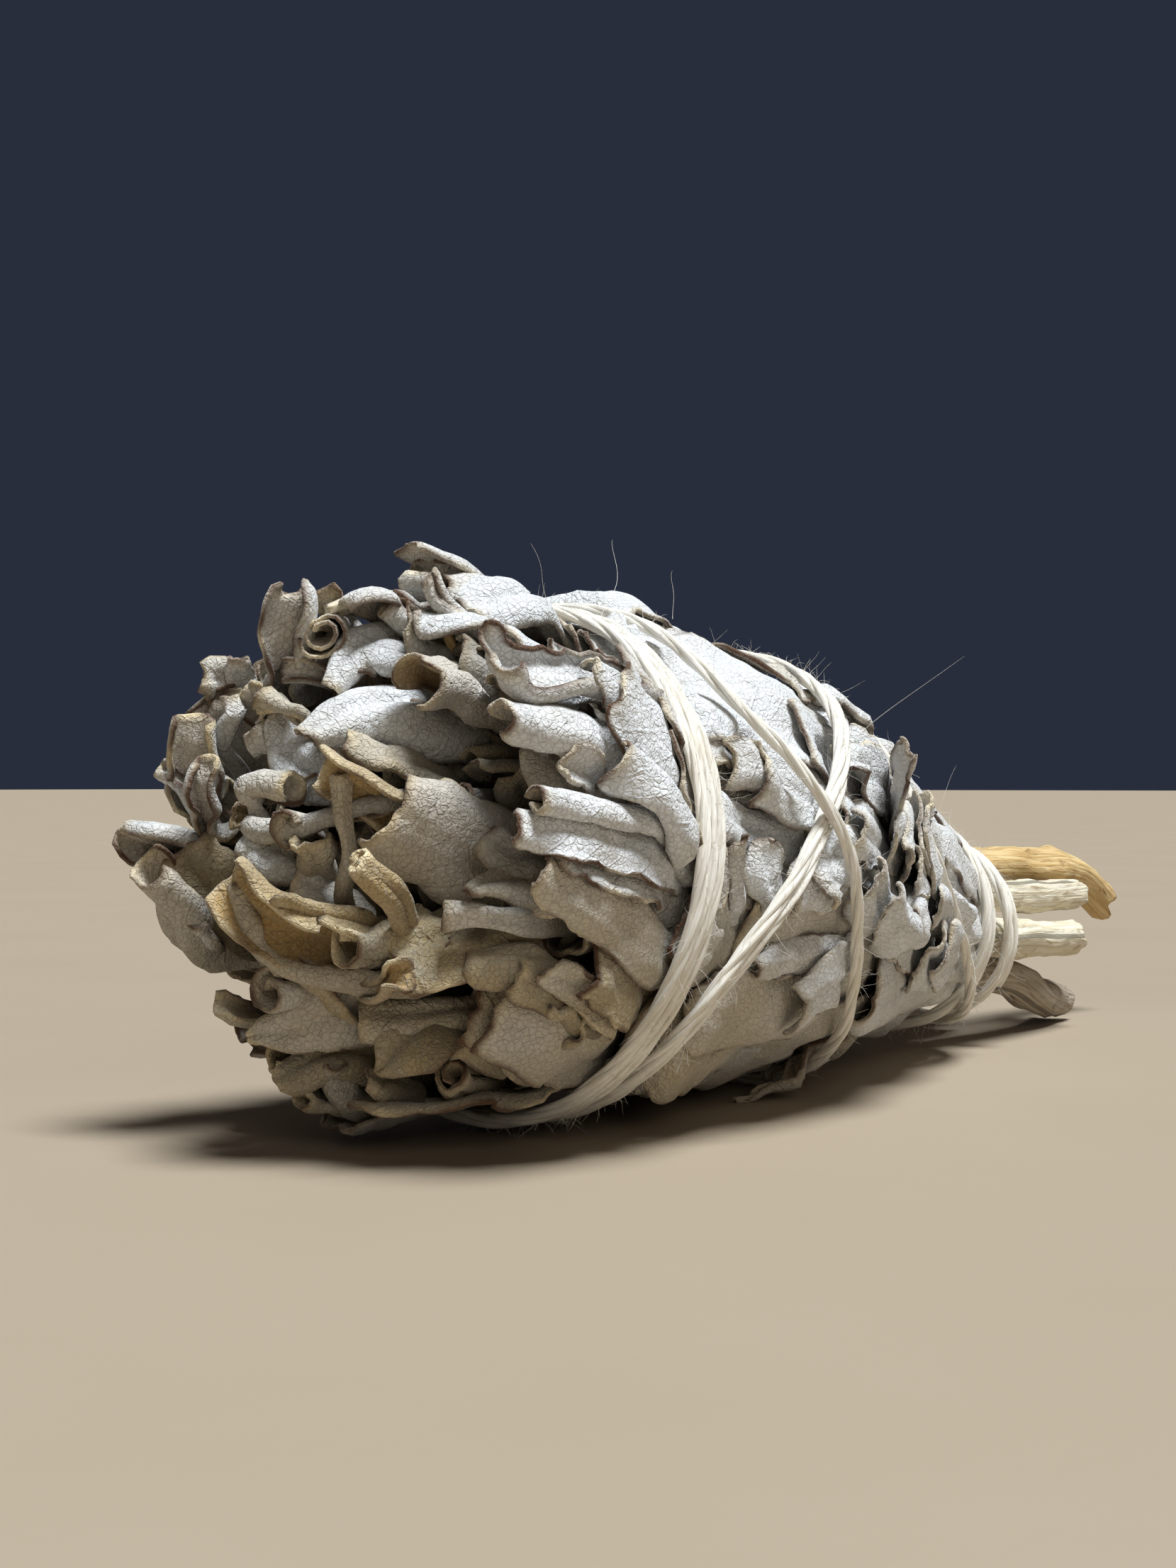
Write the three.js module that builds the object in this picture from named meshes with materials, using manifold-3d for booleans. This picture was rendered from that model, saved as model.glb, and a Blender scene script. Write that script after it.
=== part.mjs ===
// Sage smudge stick: dried white sage sprigs laid side by side and wound with one cotton string.
// Millimetres, +Z up, the stick lying along X: leaf tips at -X, cut stem ends at +X.
//
// Places on the bundle are written [station, angle, radius]. The station is the distance along the
// stick from the foremost leaf tips. The angle goes round the axis: 0 faces -Y, 90 is the top,
// 180 faces +Y and -90 is the underside. The radius is measured from the bundle's own axis.

import * as THREE from 'three';
import Module from 'manifold-3d';

// Driving dimensions
const MIDDLE_STATION = 65;          // station that stands at X = 0 while the pieces are shaped
const LEAF_THICKNESS = 0.9;
const NEIGHBOUR_GAP = 0.3;          // clearance cut between pieces that touch
const STRING_RADIUS = 0.6;
const STRING_LIFT = 0.25;           // between the string's underside and the bundle's outline
const CROSSING_LIFT = 1.6;          // where one pass of the string climbs over another
const FLOOR_CLEARANCE = 0.03;       // under the string where it passes below the bundle
const PRESSED_HEIGHT = 1.75;        // height of the leaves above the surface under the string
const ROOT_LENGTH = 14;             // of a leaf's hidden base
const ROOT_DEPTH = 3.5;             // of that base's end, under the rest of the leaf
const FREE_TIPS = 12;               // nearer the front than this, leaf tips flare past the outline
const FACING_OUT = 0.8;             // a skin that faces out more than this lies on the outline
const SMALLEST_PIECE = 0.3;         // share of a leaf that has to be left after its cuts

// The bundle's outline: [station, height of its axis, radius]
const OUTLINE = [
  [0, 21.2, 20.6], [11, 20.8, 20.4], [15, 20.7, 19.1], [25, 20.4, 19.1], [30, 20.2, 20.1],
  [37, 19.9, 20.4], [46, 19.2, 19.4], [54, 18.4, 17.3], [66, 16.4, 14.2], [78, 14.0, 11.0],
  [88, 12.1, 8.8], [96, 11.0, 8.0], [131, 9.5, 7.0],
];

// Stations where the string passes under the bundle and presses the leaves up: [from, to]
const PRESSED = [[13, 28], [50, 58]];

// Small helpers

function interpolate(table, station, column) {
  const last = table.length - 1;
  const at = Math.min(Math.max(station, table[0][0]), table[last][0]);
  let row = 1;
  while (row < last && table[row][0] < at) row += 1;
  const [a, b] = [table[row - 1], table[row]];
  return a[column] + (b[column] - a[column]) * (at - a[0]) / (b[0] - a[0]);
}

const axisHeight = (station) => interpolate(OUTLINE, station, 1);
const outlineRadius = (station) => interpolate(OUTLINE, station, 2);
const radians = THREE.MathUtils.degToRad;

function place([station, angle, radius]) {
  const turn = radians(angle);
  return new THREE.Vector3(
    station - MIDDLE_STATION,
    -radius * Math.cos(turn),
    axisHeight(station) + radius * Math.sin(turn),
  );
}

// Outward direction from the bundle's axis at a point
function outward(point) {
  const height = axisHeight(point.x + MIDDLE_STATION);
  return new THREE.Vector3(0, point.y, point.z - height);
}

// Solids: manifold-3d joins and cuts what three.js shapes

const wasm = await Module();
wasm.setup();

function solidFrom(positions, triangles) {
  const mesh = new wasm.Mesh({
    numProp: 3,
    vertProperties: Float32Array.from(positions),
    triVerts: Uint32Array.from(triangles),
  });
  mesh.merge();
  return new wasm.Manifold(mesh);
}

function solidFromGeometry(geometry) {
  const source = geometry.index ? geometry.toNonIndexed() : geometry;
  const positions = Array.from(source.attributes.position.array);
  return solidFrom(positions, positions.slice(0, positions.length / 3).map((_, i) => i));
}

function geometryFromSolid(solid) {
  const { vertProperties, triVerts } = solid.getMesh();
  const geometry = new THREE.BufferGeometry();
  geometry.setAttribute('position', new THREE.BufferAttribute(vertProperties, 3));
  geometry.setIndex(new THREE.BufferAttribute(triVerts, 1));
  return geometry;
}

function largestPiece(solid) {
  return solid.decompose().reduce((best, piece) => (piece.volume() > best.volume() ? piece : best));
}

// Leaves: a curved plate that follows a spine, rolled round it by `curl` degrees in all

// A smooth step from 0 to 1
const ease = (t) => THREE.MathUtils.smoothstep(t, 0, 1);

// Half width of a leaf at u, from its base (0) to its tip (1)
function halfWidth(leaf, u) {
  const base = leaf.base + (1 - leaf.base) * ease(u / 0.5);
  const tip = leaf.tip + (1 - leaf.tip) * ease((1 - u) / 0.35);
  return 0.5 * leaf.width * base * tip;
}

// Section of the roll: where the blade is, and which way it faces, at v from -1 to 1
function section(leaf, v) {
  const bend = radians(leaf.curl) / 2;
  const angle = bend * v;
  if (Math.abs(bend) < 0.02) return { across: v, inward: 0, angle };
  return { across: Math.sin(angle) / bend, inward: (1 - Math.cos(angle)) / bend, angle };
}

// Moves a corner of a leaf inside the bundle's outline and above what the stick lies on. `skin` is
// 1 on the side of the leaf that faces straight out and -1 on the side that faces straight in.
function keepInside(corner, skin, extra) {
  const station = corner.x + MIDDLE_STATION;
  const share = skin > FACING_OUT ? 0 : (1 - skin) / 2;
  const depth = share * (LEAF_THICKNESS + 2 * extra);
  if (station > FREE_TIPS) {
    const radial = outward(corner);
    const excess = radial.length() - (outlineRadius(station) + extra - depth);
    if (excess > 0) corner.addScaledVector(radial.normalize(), -excess);
  }
  const pressed = PRESSED.some(([from, to]) => station > from && station < to);
  corner.z = Math.max(corner.z, (pressed ? PRESSED_HEIGHT : 0) - extra + depth);
}

function leafSolid(leaf, grown) {
  const spine = new THREE.CatmullRomCurve3(leaf.spine.map(place), false, 'catmullrom', 0.5);
  const extra = grown ? NEIGHBOUR_GAP : 0;
  const positions = [];
  const rings = leaf.steps + 1;
  const columns = leaf.columns + 1;
  const middle = outward(spine.getPoint(0.6)).normalize();
  for (let i = 0; i < rings; i += 1) {
    const u = i / leaf.steps;
    const point = spine.getPoint(u);
    const along = spine.getTangent(u);
    if (i === 0) point.addScaledVector(along, -extra);
    if (i === leaf.steps) point.addScaledVector(along, extra);
    const facing = outward(point).addScaledVector(middle, 4);
    facing.addScaledVector(along, -facing.dot(along)).normalize();
    facing.applyAxisAngle(along, radians(leaf.turn));
    const sideways = new THREE.Vector3().crossVectors(along, facing);
    const half = halfWidth(leaf, u) + extra;
    const thickness = LEAF_THICKNESS / 2 + extra;
    for (const side of [1, -1]) {
      for (let j = 0; j < columns; j += 1) {
        const { across, inward, angle } = section(leaf, -1 + 2 * j / leaf.columns);
        const x = across * half + side * thickness * Math.sin(angle);
        const y = -inward * half + side * thickness * Math.cos(angle);
        const corner = point.clone().addScaledVector(sideways, x).addScaledVector(facing, y);
        keepInside(corner, side * Math.cos(angle) * outward(corner).normalize().dot(facing), extra);
        positions.push(corner.x, corner.y, corner.z);
      }
    }
  }
  return solidFrom(positions, plateTriangles(rings, columns));
}

// Faces of a plate whose rings each hold a row of upper corners and then a row of lower ones
function plateTriangles(rings, columns) {
  const triangles = [];
  const corner = (i, j, lower) => (2 * i + (lower ? 1 : 0)) * columns + j;
  const quad = (a, b, c, d) => triangles.push(a, b, c, a, c, d);
  for (let i = 0; i < rings - 1; i += 1) {
    for (let j = 0; j < columns - 1; j += 1) {
      quad(corner(i, j, 0), corner(i, j + 1, 0), corner(i + 1, j + 1, 0), corner(i + 1, j, 0));
      quad(corner(i, j, 1), corner(i + 1, j, 1), corner(i + 1, j + 1, 1), corner(i, j + 1, 1));
    }
    const last = columns - 1;
    quad(corner(i, 0, 0), corner(i + 1, 0, 0), corner(i + 1, 0, 1), corner(i, 0, 1));
    quad(corner(i, last, 0), corner(i, last, 1), corner(i + 1, last, 1), corner(i + 1, last, 0));
  }
  for (let j = 0; j < columns - 1; j += 1) {
    const end = rings - 1;
    quad(corner(0, j, 0), corner(0, j, 1), corner(0, j + 1, 1), corner(0, j + 1, 0));
    quad(corner(end, j, 0), corner(end, j + 1, 0), corner(end, j + 1, 1), corner(end, j, 1));
  }
  return triangles;
}

// The leaves. Each spine runs from the base, inside the bundle, to the free tip.

const leaves = [];
const leafDefaults = { width: 9, curl: 90, turn: 0, base: 0.4, tip: 0.45, steps: 5, columns: 4 };

function leaf(name, spine, shape) {
  leaves.push({ name, spine, ...leafDefaults, ...shape });
}

// A leaf whose base carries on under the string and the outer leaves, towards its stem
function rootedLeaf(name, spine, shape) {
  const [station, angle, radius] = spine[0];
  const root = [station + ROOT_LENGTH, angle, Math.max(radius - ROOT_DEPTH, Math.min(radius, 8))];
  leaf(name, [root, ...spine], { steps: 6, base: 0.3, ...shape });
}

// Under and around the string on the near side
rootedLeaf('square_leaf', [[26, -40, 19], [16, -45, 19.6], [4, -44, 16.5]],
  { width: 10, curl: 15, base: 0.6, tip: 1 });
rootedLeaf('oval_leaf', [[30, -20, 19.2], [20, -18, 19.6], [11, -11, 19.4], [4, -4, 16.5]],
  { width: 10, curl: 60 });
rootedLeaf('long_leaf', [[30, -3, 19.2], [19, 0, 19.6], [10, 4, 18.8], [6, 12, 15.5]],
  { width: 9, curl: 120, tip: 0.7 });
rootedLeaf('rolled_leaf', [[30, 8, 19], [20, 10, 19.4], [12, 18, 19.6], [7, 25, 19]],
  { width: 7, curl: 200, tip: 0.8 });
rootedLeaf('broad_leaf', [[34, 28, 19], [24, 30, 19.5], [12, 36, 19.8]], { width: 11, curl: 50, tip: 0.8 });
rootedLeaf('crumpled_leaf', [[26, 44, 18.6], [14, 42, 19.6], [2, 42, 19.8]],
  { width: 10, curl: 60, tip: 0.8 });
rootedLeaf('curled_leaf', [[30, -32, 17.4], [20, -32, 17.6], [12, -27, 18], [5, -21, 17.3]],
  { width: 7, curl: 140 });
rootedLeaf('top_leaf', [[40, 74, 18.6], [26, 74, 18.8], [17, 71, 19], [8, 64, 20.2]], { width: 14, curl: 60, tip: 0.7 });
rootedLeaf('ridge_top_leaf', [[34, 95, 18], [23, 96, 19], [14, 98, 22.6]],
  { width: 7, curl: 220, tip: 0.9 });

// The face of the bundle, where the tips open
rootedLeaf('cone_leaf', [[30, -14, 9], [17, -6, 10.5], [8, 4, 9.5], [0, 32, 8.3]],
  { width: 13, curl: 150, base: 0.3, tip: 0.6 });
rootedLeaf('horn_leaf', [[24, 58, 10], [15, 68, 12], [8, 79, 13.6], [3, 92, 11.4], [2, 112, 9.5]],
  { width: 7, curl: 260, base: 0.6, tip: 0.6 });
rootedLeaf('golden_leaf', [[24, -140, 5], [9, -155, 6.5], [-1, -165, 6.8]],
  { width: 9, curl: 160, turn: 180, tip: 0.8 });
leaf('ridge_leaf', [[7, -148, 8.8], [7, -126, 9.3], [7, -102, 9.6], [8, -78, 9.6], [9, -54, 10]],
  { width: 12, curl: 20, base: 0.8, tip: 0.8 });
rootedLeaf('flared_leaf', [[22, -60, 4], [10, -66, 5], [5, -30, 4.8], [-1, 0, 6]],
  { width: 6, curl: 270, tip: 1 });
rootedLeaf('hollow_leaf', [[28, 2, 15], [19, 8, 16.3], [12, 13, 16], [6, 19, 14.8]],
  { width: 8, curl: 280, tip: 1 });
rootedLeaf('pointed_leaf', [[28, 4, 12], [17, 0, 13.5], [10, -3, 14], [3, -13, 11.5]],
  { width: 8, curl: 120, tip: 0.3 });
rootedLeaf('crossing_leaf', [[28, 30, 13], [18, 42, 14], [13, 54, 13.6], [10, 64, 12]],
  { width: 6, curl: 160 });
rootedLeaf('fold_leaf', [[26, -30, 12.5], [11, -32, 14], [3, -32, 12.3]], { width: 8, curl: 170, tip: 0.6 });
rootedLeaf('margin_leaf', [[26, -46, 15], [12, -46, 15], [6, -54, 12.6], [2, -68, 10.8]],
  { width: 8, curl: 100 });
rootedLeaf('lower_tip_leaf', [[26, -82, 11], [12, -86, 11.6], [5, -104, 13.2], [1, -121, 15.2]],
  { width: 9, curl: 90, tip: 0.3 });
rootedLeaf('ring_leaf', [[26, -124, 12], [12, -127, 14], [2, -130, 14.6]],
  { width: 8, curl: 280, tip: 1 });
rootedLeaf('low_leaf', [[28, -96, 14], [14, -97, 16.2], [3, -103, 15.6]], { width: 11, curl: 110 });
rootedLeaf('wavy_leaf', [[30, -82, 18.3], [16, -84, 18], [5, -86, 17.3]], { width: 12, curl: 70, tip: 0.8 });
rootedLeaf('dark_curl_leaf', [[28, -118, 17], [14, -116, 17.4], [3, -113, 17.4]], { width: 9, curl: 150 });
rootedLeaf('scroll_low_leaf', [[28, -64, 16], [14, -64, 17], [4, -57, 16]], { width: 8, curl: 250, tip: 0.9 });
rootedLeaf('finger_leaf', [[26, -136, 17.8], [13, -142, 17.2], [5, -149, 13.8], [-1, -160, 10.5]],
  { width: 10, curl: 200, tip: 0.4 });
rootedLeaf('cone_end_leaf', [[28, -150, 18], [13, -158, 19.4], [-1, -172, 18.8]],
  { width: 11, curl: 190, tip: 0.4 });
rootedLeaf('mouth_leaf', [[28, -178, 18], [14, -179, 19.6], [2, 178, 20.6]],
  { width: 11, curl: 180, tip: 0.7 });
rootedLeaf('pale_tip_leaf', [[28, 164, 18], [14, 165, 19.4], [4, 166, 21.6]], { width: 9, curl: 120 });
rootedLeaf('upright_leaf', [[28, 148, 18], [14, 150, 19.4], [6, 151, 21]], { width: 10, curl: 120, tip: 0.8 });
rootedLeaf('u_leaf', [[26, 158, 12], [13, 158, 14.6], [4, 158, 16.2]],
  { width: 9, curl: 180, turn: 180, tip: 0.8 });
rootedLeaf('knob_leaf', [[26, 140, 11], [14, 141, 13.2], [5, 141, 14.2]], { width: 7, curl: 220, tip: 0.9 });
leaf('s_leaf', [[9, 112, 12.8], [8, 128, 11.2], [8, 146, 9.6]], { width: 9, curl: 30, base: 0.9, tip: 0.9 });
leaf('loop_leaf', [[7, 168, 11], [6, 172, 7], [6, 120, 4.2], [6, 88, 6]],
  { width: 7, curl: 20, base: 0.9, tip: 0.9 });
rootedLeaf('left_tip_leaf', [[28, 136, 18.4], [14, 138, 19.4], [7, 142, 21.6]], { width: 8, curl: 140 });
rootedLeaf('tall_leaf', [[28, 118, 16], [14, 121, 18.6], [7, 123, 20.8]],
  { width: 8, curl: 120, turn: 70, tip: 0.9 });
rootedLeaf('scroll_leaf', [[28, 104, 14.5], [14, 108, 16.5], [6, 109, 17.3]],
  { width: 8, curl: 280, tip: 1 });
rootedLeaf('arched_leaf', [[30, 108, 18.8], [18, 108, 19], [9, 111, 21.2]], { width: 8, curl: 150 });
rootedLeaf('bulging_leaf', [[28, 92, 13.5], [14, 94, 15.6], [8, 105, 15]], { width: 8, curl: 170, tip: 0.7 });
rootedLeaf('inner_stalk_leaf', [[26, 110, 3], [12, 100, 4], [4, 80, 6.4]], { width: 4, curl: 250, tip: 0.8 });

// Outer leaves between the string and the cut ends: a long one to each place round the bundle,
// the first of them flat on the surface that the stick lies on
const WRAP_ANGLES = [-90, 62, 34, 6, -24, -56, -124, -154, 178, 144, 104];
WRAP_ANGLES.forEach((angle, index) => {
  const end = 62 + 9 * (index % 3);
  const spread = 1 + (index % 2);
  leaf(`wrap_leaf_${String(index + 1).padStart(2, '0')}`, [
    [end + 14, angle - 4, outlineRadius(end + 14) - 1.6],
    [end, angle - 2, outlineRadius(end) - spread],
    [44, angle, outlineRadius(44)],
    [34, angle, outlineRadius(34)],
    [24 + 4 * spread, angle + 3, outlineRadius(28) - 0.5],
  ], {
    width: 15, curl: 55, base: 0.35, tip: 0.8, steps: index === 0 ? 14 : 7, columns: index === 0 ? 6 : 4,
  });
});

// The stems: [station, angle, radius] from the leafy end to the cut end
const STEMS = [
  [[22, 88, 5], [60, 88, 5], [88, 92, 6], [104, 90, 6.8], [121, 84, 6.6], [130, 76, 3.6]],
  [[22, 20, 6], [60, 22, 5.6], [88, 36, 6], [102, 40, 6], [116, 46, 5.8]],
  [[22, -20, 6], [60, -20, 6], [88, -8, 6], [100, -4, 6], [112, -6, 5.4]],
  [[22, -62, 6], [60, -66, 5.6], [88, -60, 5.2], [100, -56, 5.6], [108, -66, 7.6], [118, -84, 7.9]],
  [[22, -110, 6], [60, -112, 5.4], [88, -114, 5], [101, -116, 5]],
  [[22, -160, 6], [60, -160, 5.5], [88, -160, 5.3], [104, -160, 5.3]],
  [[22, 150, 6], [60, 150, 5.5], [88, 145, 5.3], [107, 145, 5.3]],
  [[22, 180, 0.4], [60, 180, 0.4], [88, 180, 0.2], [99, 180, 0.2]],
];
const STEM_RADIUS = [2.2, 1.7, 1.9, 2.0, 1.6, 1.8, 1.8, 1.7];

// A round bar swept along its own points
function barSolid(points, radius, sides) {
  const section = new THREE.Shape();
  for (let i = 0; i < sides; i += 1) {
    const turn = 2 * Math.PI * i / sides;
    const [x, y] = [radius * Math.cos(turn), radius * Math.sin(turn)];
    if (i === 0) section.moveTo(x, y);
    else section.lineTo(x, y);
  }
  section.closePath();
  const path = new THREE.CatmullRomCurve3(points, false, 'catmullrom', 0.5);
  path.getUtoTmapping = (u) => u;   // one ring at every point
  return solidFromGeometry(new THREE.ExtrudeGeometry(section, {
    steps: points.length - 1, extrudePath: path,
  }));
}

// The string, one length wound clockwise as seen from the leafy end. Its route is a list of
// passes round the bundle, each with a station, and a lift where it climbs over an older pass.

const SLANTED_PITCH = 1.8;
const BAND_PITCH = 1.3;
const NECK_PITCH = 1.4;
const SLANTED_TURNS = 2;
const BAND_TURNS = 3;

// [angle, station] of one turn of the slanted turns and one of the band, of the way from one
// part of the winding to the next, and of the last pass, which ends at the neck
const SLANTED = [
  [-270, 50], [-225, 46], [-180, 36], [-135, 27], [-90, 22.5], [-53, 21.8], [-44, 22],
  [-26, 24], [-11, 27.5], [4, 32], [12, 34.5], [21, 38], [34, 44], [60, 48.5], [90, 50],
];
const BAND = [
  [-270, 25], [-225, 24], [-180, 21.5], [-135, 19.2], [-90, 18.6], [-48, 17.6], [-27, 18.2],
  [4, 20.3], [30, 21.4], [60, 23], [90, 25],
];
const NECK_TO_SLANTED = [[-270, 51.4], [-225, 58], [-180, 66], [-135, 75], [-90, 80.5]];
const SLANTED_TO_BAND = [
  [-270, 23.4], [-240, 22], [-210, 21.2], [-180, 21.5], [-150, 22.6], [-120, 21.9], [-90, 21.2],
];
const LAST_PASS = [
  [-450, 88], [-425, 85], [-399, 80], [-372, 71], [-360, 65], [-350, 60], [-340, 57.5],
  [-270, 56], [-180, 55], [-90, 53], [-64, 51], [-43, 47], [-30, 43.3], [-19, 41], [-7, 38.3],
  [3, 36.5], [11, 34], [22, 30.3], [33, 28.4], [44, 27.6], [59, 28], [90, 28.3],
];

// A climb over an older pass: 1 at its middle and 0 at its ends
function climb(angle, middle, reach) {
  return CROSSING_LIFT * ease(1.6 * (1 - Math.abs(angle - middle) / reach));
}

function stringRoute() {
  const route = [];
  const pass = (from, to, step, station, lift = () => 0) => {
    for (let angle = from; angle > to; angle -= step) {
      route.push([station(angle), angle, lift(angle)]);
    }
  };
  const neckTurns = (from) => (angle) => 83 - NECK_PITCH * (from - angle) / 360;
  pass(560, -90, 26, neckTurns(560));
  pass(-90, -270, 15, (angle) => interpolate(NECK_TO_SLANTED, angle, 1));
  for (let turn = 0; turn < SLANTED_TURNS; turn += 1) {
    const end = turn < SLANTED_TURNS - 1 ? -270 : -90;
    pass(90, end, 15, (angle) => (
      interpolate(SLANTED, angle, 1) + SLANTED_PITCH * (0.75 - turn - (90 - angle) / 360)
    ));
  }
  pass(-90, -270, 15, (angle) => interpolate(SLANTED_TO_BAND, angle, 1));
  for (let turn = 0; turn < BAND_TURNS; turn += 1) {
    pass(90, -270, 15, (angle) => (
      interpolate(BAND, angle, 1) + BAND_PITCH * (turn + (90 - angle) / 360 - 1.25)
    ), (angle) => climb(angle, -172, 60));
  }
  const lastPass = (angle) => interpolate(LAST_PASS, angle, 1);
  pass(90, -30, 6, lastPass, (angle) => climb(angle, 11, 17));
  pass(-30, -330, 15, lastPass, (angle) => climb(angle, -238, 36));
  pass(-330, -450, 8, lastPass, (angle) => climb(angle, -403, 30));
  pass(-450, -1120, 26, (angle) => 88 + NECK_PITCH * (-450 - angle) / 360);
  return eased(eased(route));
}

// Evens out the stations and lifts along a route, so that the string has no kinks
function eased(route) {
  return route.map(([station, angle, lift], i) => {
    if (i === 0 || i === route.length - 1) return [station, angle, lift];
    const [before, after] = [route[i - 1], route[i + 1]];
    return [
      (before[0] + 2 * station + after[0]) / 4, angle, (before[2] + 2 * lift + after[2]) / 4,
    ];
  });
}

function stringPoint([station, angle, lift]) {
  const radius = outlineRadius(station) + STRING_LIFT + STRING_RADIUS + lift;
  const point = place([station, angle, radius]);
  point.z = Math.max(point.z, STRING_RADIUS + FLOOR_CLEARANCE);
  return point;
}

// The scene: each piece is a mesh of its own

const finishes = {
  leaf: { color: 0xc9c5b6, roughness: 0.95, metalness: 0 },
  string: { color: 0xe6dfcc, roughness: 0.95, metalness: 0 },
  stem: { color: 0xb08a55, roughness: 0.85, metalness: 0 },
};

const bundle = new THREE.Group();
bundle.name = 'sage_smudge_stick';

function addPiece(name, solid, finish) {
  const mesh = new THREE.Mesh(
    geometryFromSolid(solid),
    new THREE.MeshStandardMaterial(finishes[finish]),
  );
  mesh.name = name;
  bundle.add(mesh);
}

const cutters = [];

addPiece('cotton_string', barSolid(stringRoute().map(stringPoint), STRING_RADIUS, 6), 'string');

STEMS.forEach((stations, index) => {
  const curve = new THREE.CatmullRomCurve3(stations.map(place), false, 'catmullrom', 0.5);
  const points = curve.getPoints(8);
  addPiece(`stem_${index + 1}`, barSolid(points, STEM_RADIUS[index], 8), 'stem');
  cutters.push(barSolid(points, STEM_RADIUS[index] + NEIGHBOUR_GAP, 8));
});

for (const shape of leaves) {
  const whole = leafSolid(shape, false);
  const cut = cutters.reduce((solid, cutter) => solid.subtract(cutter), whole);
  const piece = largestPiece(cut);
  if (piece.volume() < SMALLEST_PIECE * whole.volume()) {
    throw new Error(`${shape.name} is mostly cut away: ${piece.volume() / whole.volume()}`);
  }
  addPiece(shape.name, piece, 'leaf');
  cutters.push(leafSolid(shape, true));
}

// The origin is the middle of the underside of the bounding box
const box = new THREE.Box3().setFromObject(bundle);
const middle = box.getCenter(new THREE.Vector3());
bundle.position.set(-middle.x, -middle.y, -box.min.z);

export default bundle;
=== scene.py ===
"""Sage smudge stick: the looks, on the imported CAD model.

Lengths are millimetres up to add_mesh. Places on the bundle are (station, angle, radius), as in
the part: the station runs along the stick from the foremost leaf tips, the angle goes round the
bundle's axis (0 faces -Y, 90 is the top, -90 the underside), and the radius is from that axis.
"""
import math

import bpy
import numpy as np
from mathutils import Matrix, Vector


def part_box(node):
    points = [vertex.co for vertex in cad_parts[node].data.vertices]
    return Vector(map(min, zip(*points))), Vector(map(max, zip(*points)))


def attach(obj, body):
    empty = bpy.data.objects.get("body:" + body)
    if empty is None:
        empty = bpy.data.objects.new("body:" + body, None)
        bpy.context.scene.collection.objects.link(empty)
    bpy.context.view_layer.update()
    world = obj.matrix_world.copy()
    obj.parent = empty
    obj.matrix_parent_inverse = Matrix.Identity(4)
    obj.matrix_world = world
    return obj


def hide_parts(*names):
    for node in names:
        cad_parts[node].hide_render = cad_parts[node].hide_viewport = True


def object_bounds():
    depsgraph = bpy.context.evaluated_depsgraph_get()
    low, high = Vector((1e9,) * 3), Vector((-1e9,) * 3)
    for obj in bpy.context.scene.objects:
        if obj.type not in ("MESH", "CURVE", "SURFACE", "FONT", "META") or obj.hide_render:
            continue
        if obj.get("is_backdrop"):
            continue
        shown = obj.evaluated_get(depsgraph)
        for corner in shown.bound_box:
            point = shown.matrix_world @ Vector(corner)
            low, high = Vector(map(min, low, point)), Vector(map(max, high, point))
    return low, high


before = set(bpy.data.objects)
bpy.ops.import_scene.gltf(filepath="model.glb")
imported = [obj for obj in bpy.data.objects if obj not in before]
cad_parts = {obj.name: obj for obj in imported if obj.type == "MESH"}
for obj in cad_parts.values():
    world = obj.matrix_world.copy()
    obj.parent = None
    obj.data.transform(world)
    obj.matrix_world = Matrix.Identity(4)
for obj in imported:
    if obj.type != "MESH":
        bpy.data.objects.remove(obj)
bounds_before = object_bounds()
MM = 0.001                      # in metres

# ---------------------------------------------------------------- driving dimensions

MESH_STEP = 0.5      # spacing of a leaf's mesh
HIDDEN_STEP = 2.0               # and of the part of it that is deep inside the bundle
LEAF_THICKNESS = 0.32
RIM_WIDTH = 0.3                 # of the coloured margin of a leaf
STRING_RADIUS = 0.58
STRING_LIFT = -0.2              # the string's underside, from the bundle's outline
CROSSING_LIFT = 1.4             # of the string where it crosses an older pass
FLOOR_CLEARANCE = 0.03
ROOT_LENGTH = 14.0
ROOT_DEPTH = 3.5
CORE_RADIUS = 8                 # roots don't go deeper than this
HIDDEN_SHARE = 0.3              # of a rooted leaf, from its root
FREE_TIPS = 10.0                # nearer the front than this, leaf tips flare past the outline
STEM_START = 22.0               # station where the straight middle stem begins
STEM_SHIFT = 0.3                # and how far behind the bundle's axis it lies

# Station, height of the bundle's axis, radius of its outline
OUTLINE = np.array([
    (0, 21.2, 20.6), (11, 20.8, 20.4), (15, 20.7, 19.1), (25, 20.4, 19.1), (30, 20.2, 20.1),
    (37, 19.9, 20.4), (46, 19.2, 19.4), (54, 18.4, 17.3), (66, 16.4, 14.2), (78, 14.0, 11.0),
    (88, 12.1, 8.8), (96, 11.0, 8.0), (131, 9.5, 7.0),
])

# The straight middle stem says where the bundle lies in the frame
middle_low, middle_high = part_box("stem_8")
STATION_ZERO_X = middle_low[0] / MM - STEM_START
AXIS_Y = (middle_low[1] + middle_high[1]) / 2 / MM - STEM_SHIFT


# ---------------------------------------------------------------- places, curves and noise

def axis_height(station):
    return np.interp(station, OUTLINE[:, 0], OUTLINE[:, 1])


def outline_radius(station):
    return np.interp(station, OUTLINE[:, 0], OUTLINE[:, 2])


def stacked(*coordinates):
    """Points from their coordinates, each an array or one number for all."""
    return np.stack(np.broadcast_arrays(*coordinates), axis=-1)


def place(stations, angles, radii):
    """Points in the frame, in millimetres, of places on the bundle."""
    turn = np.radians(angles)
    return stacked(stations + STATION_ZERO_X, AXIS_Y - radii * np.cos(turn),
                   axis_height(stations) + radii * np.sin(turn))


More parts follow.
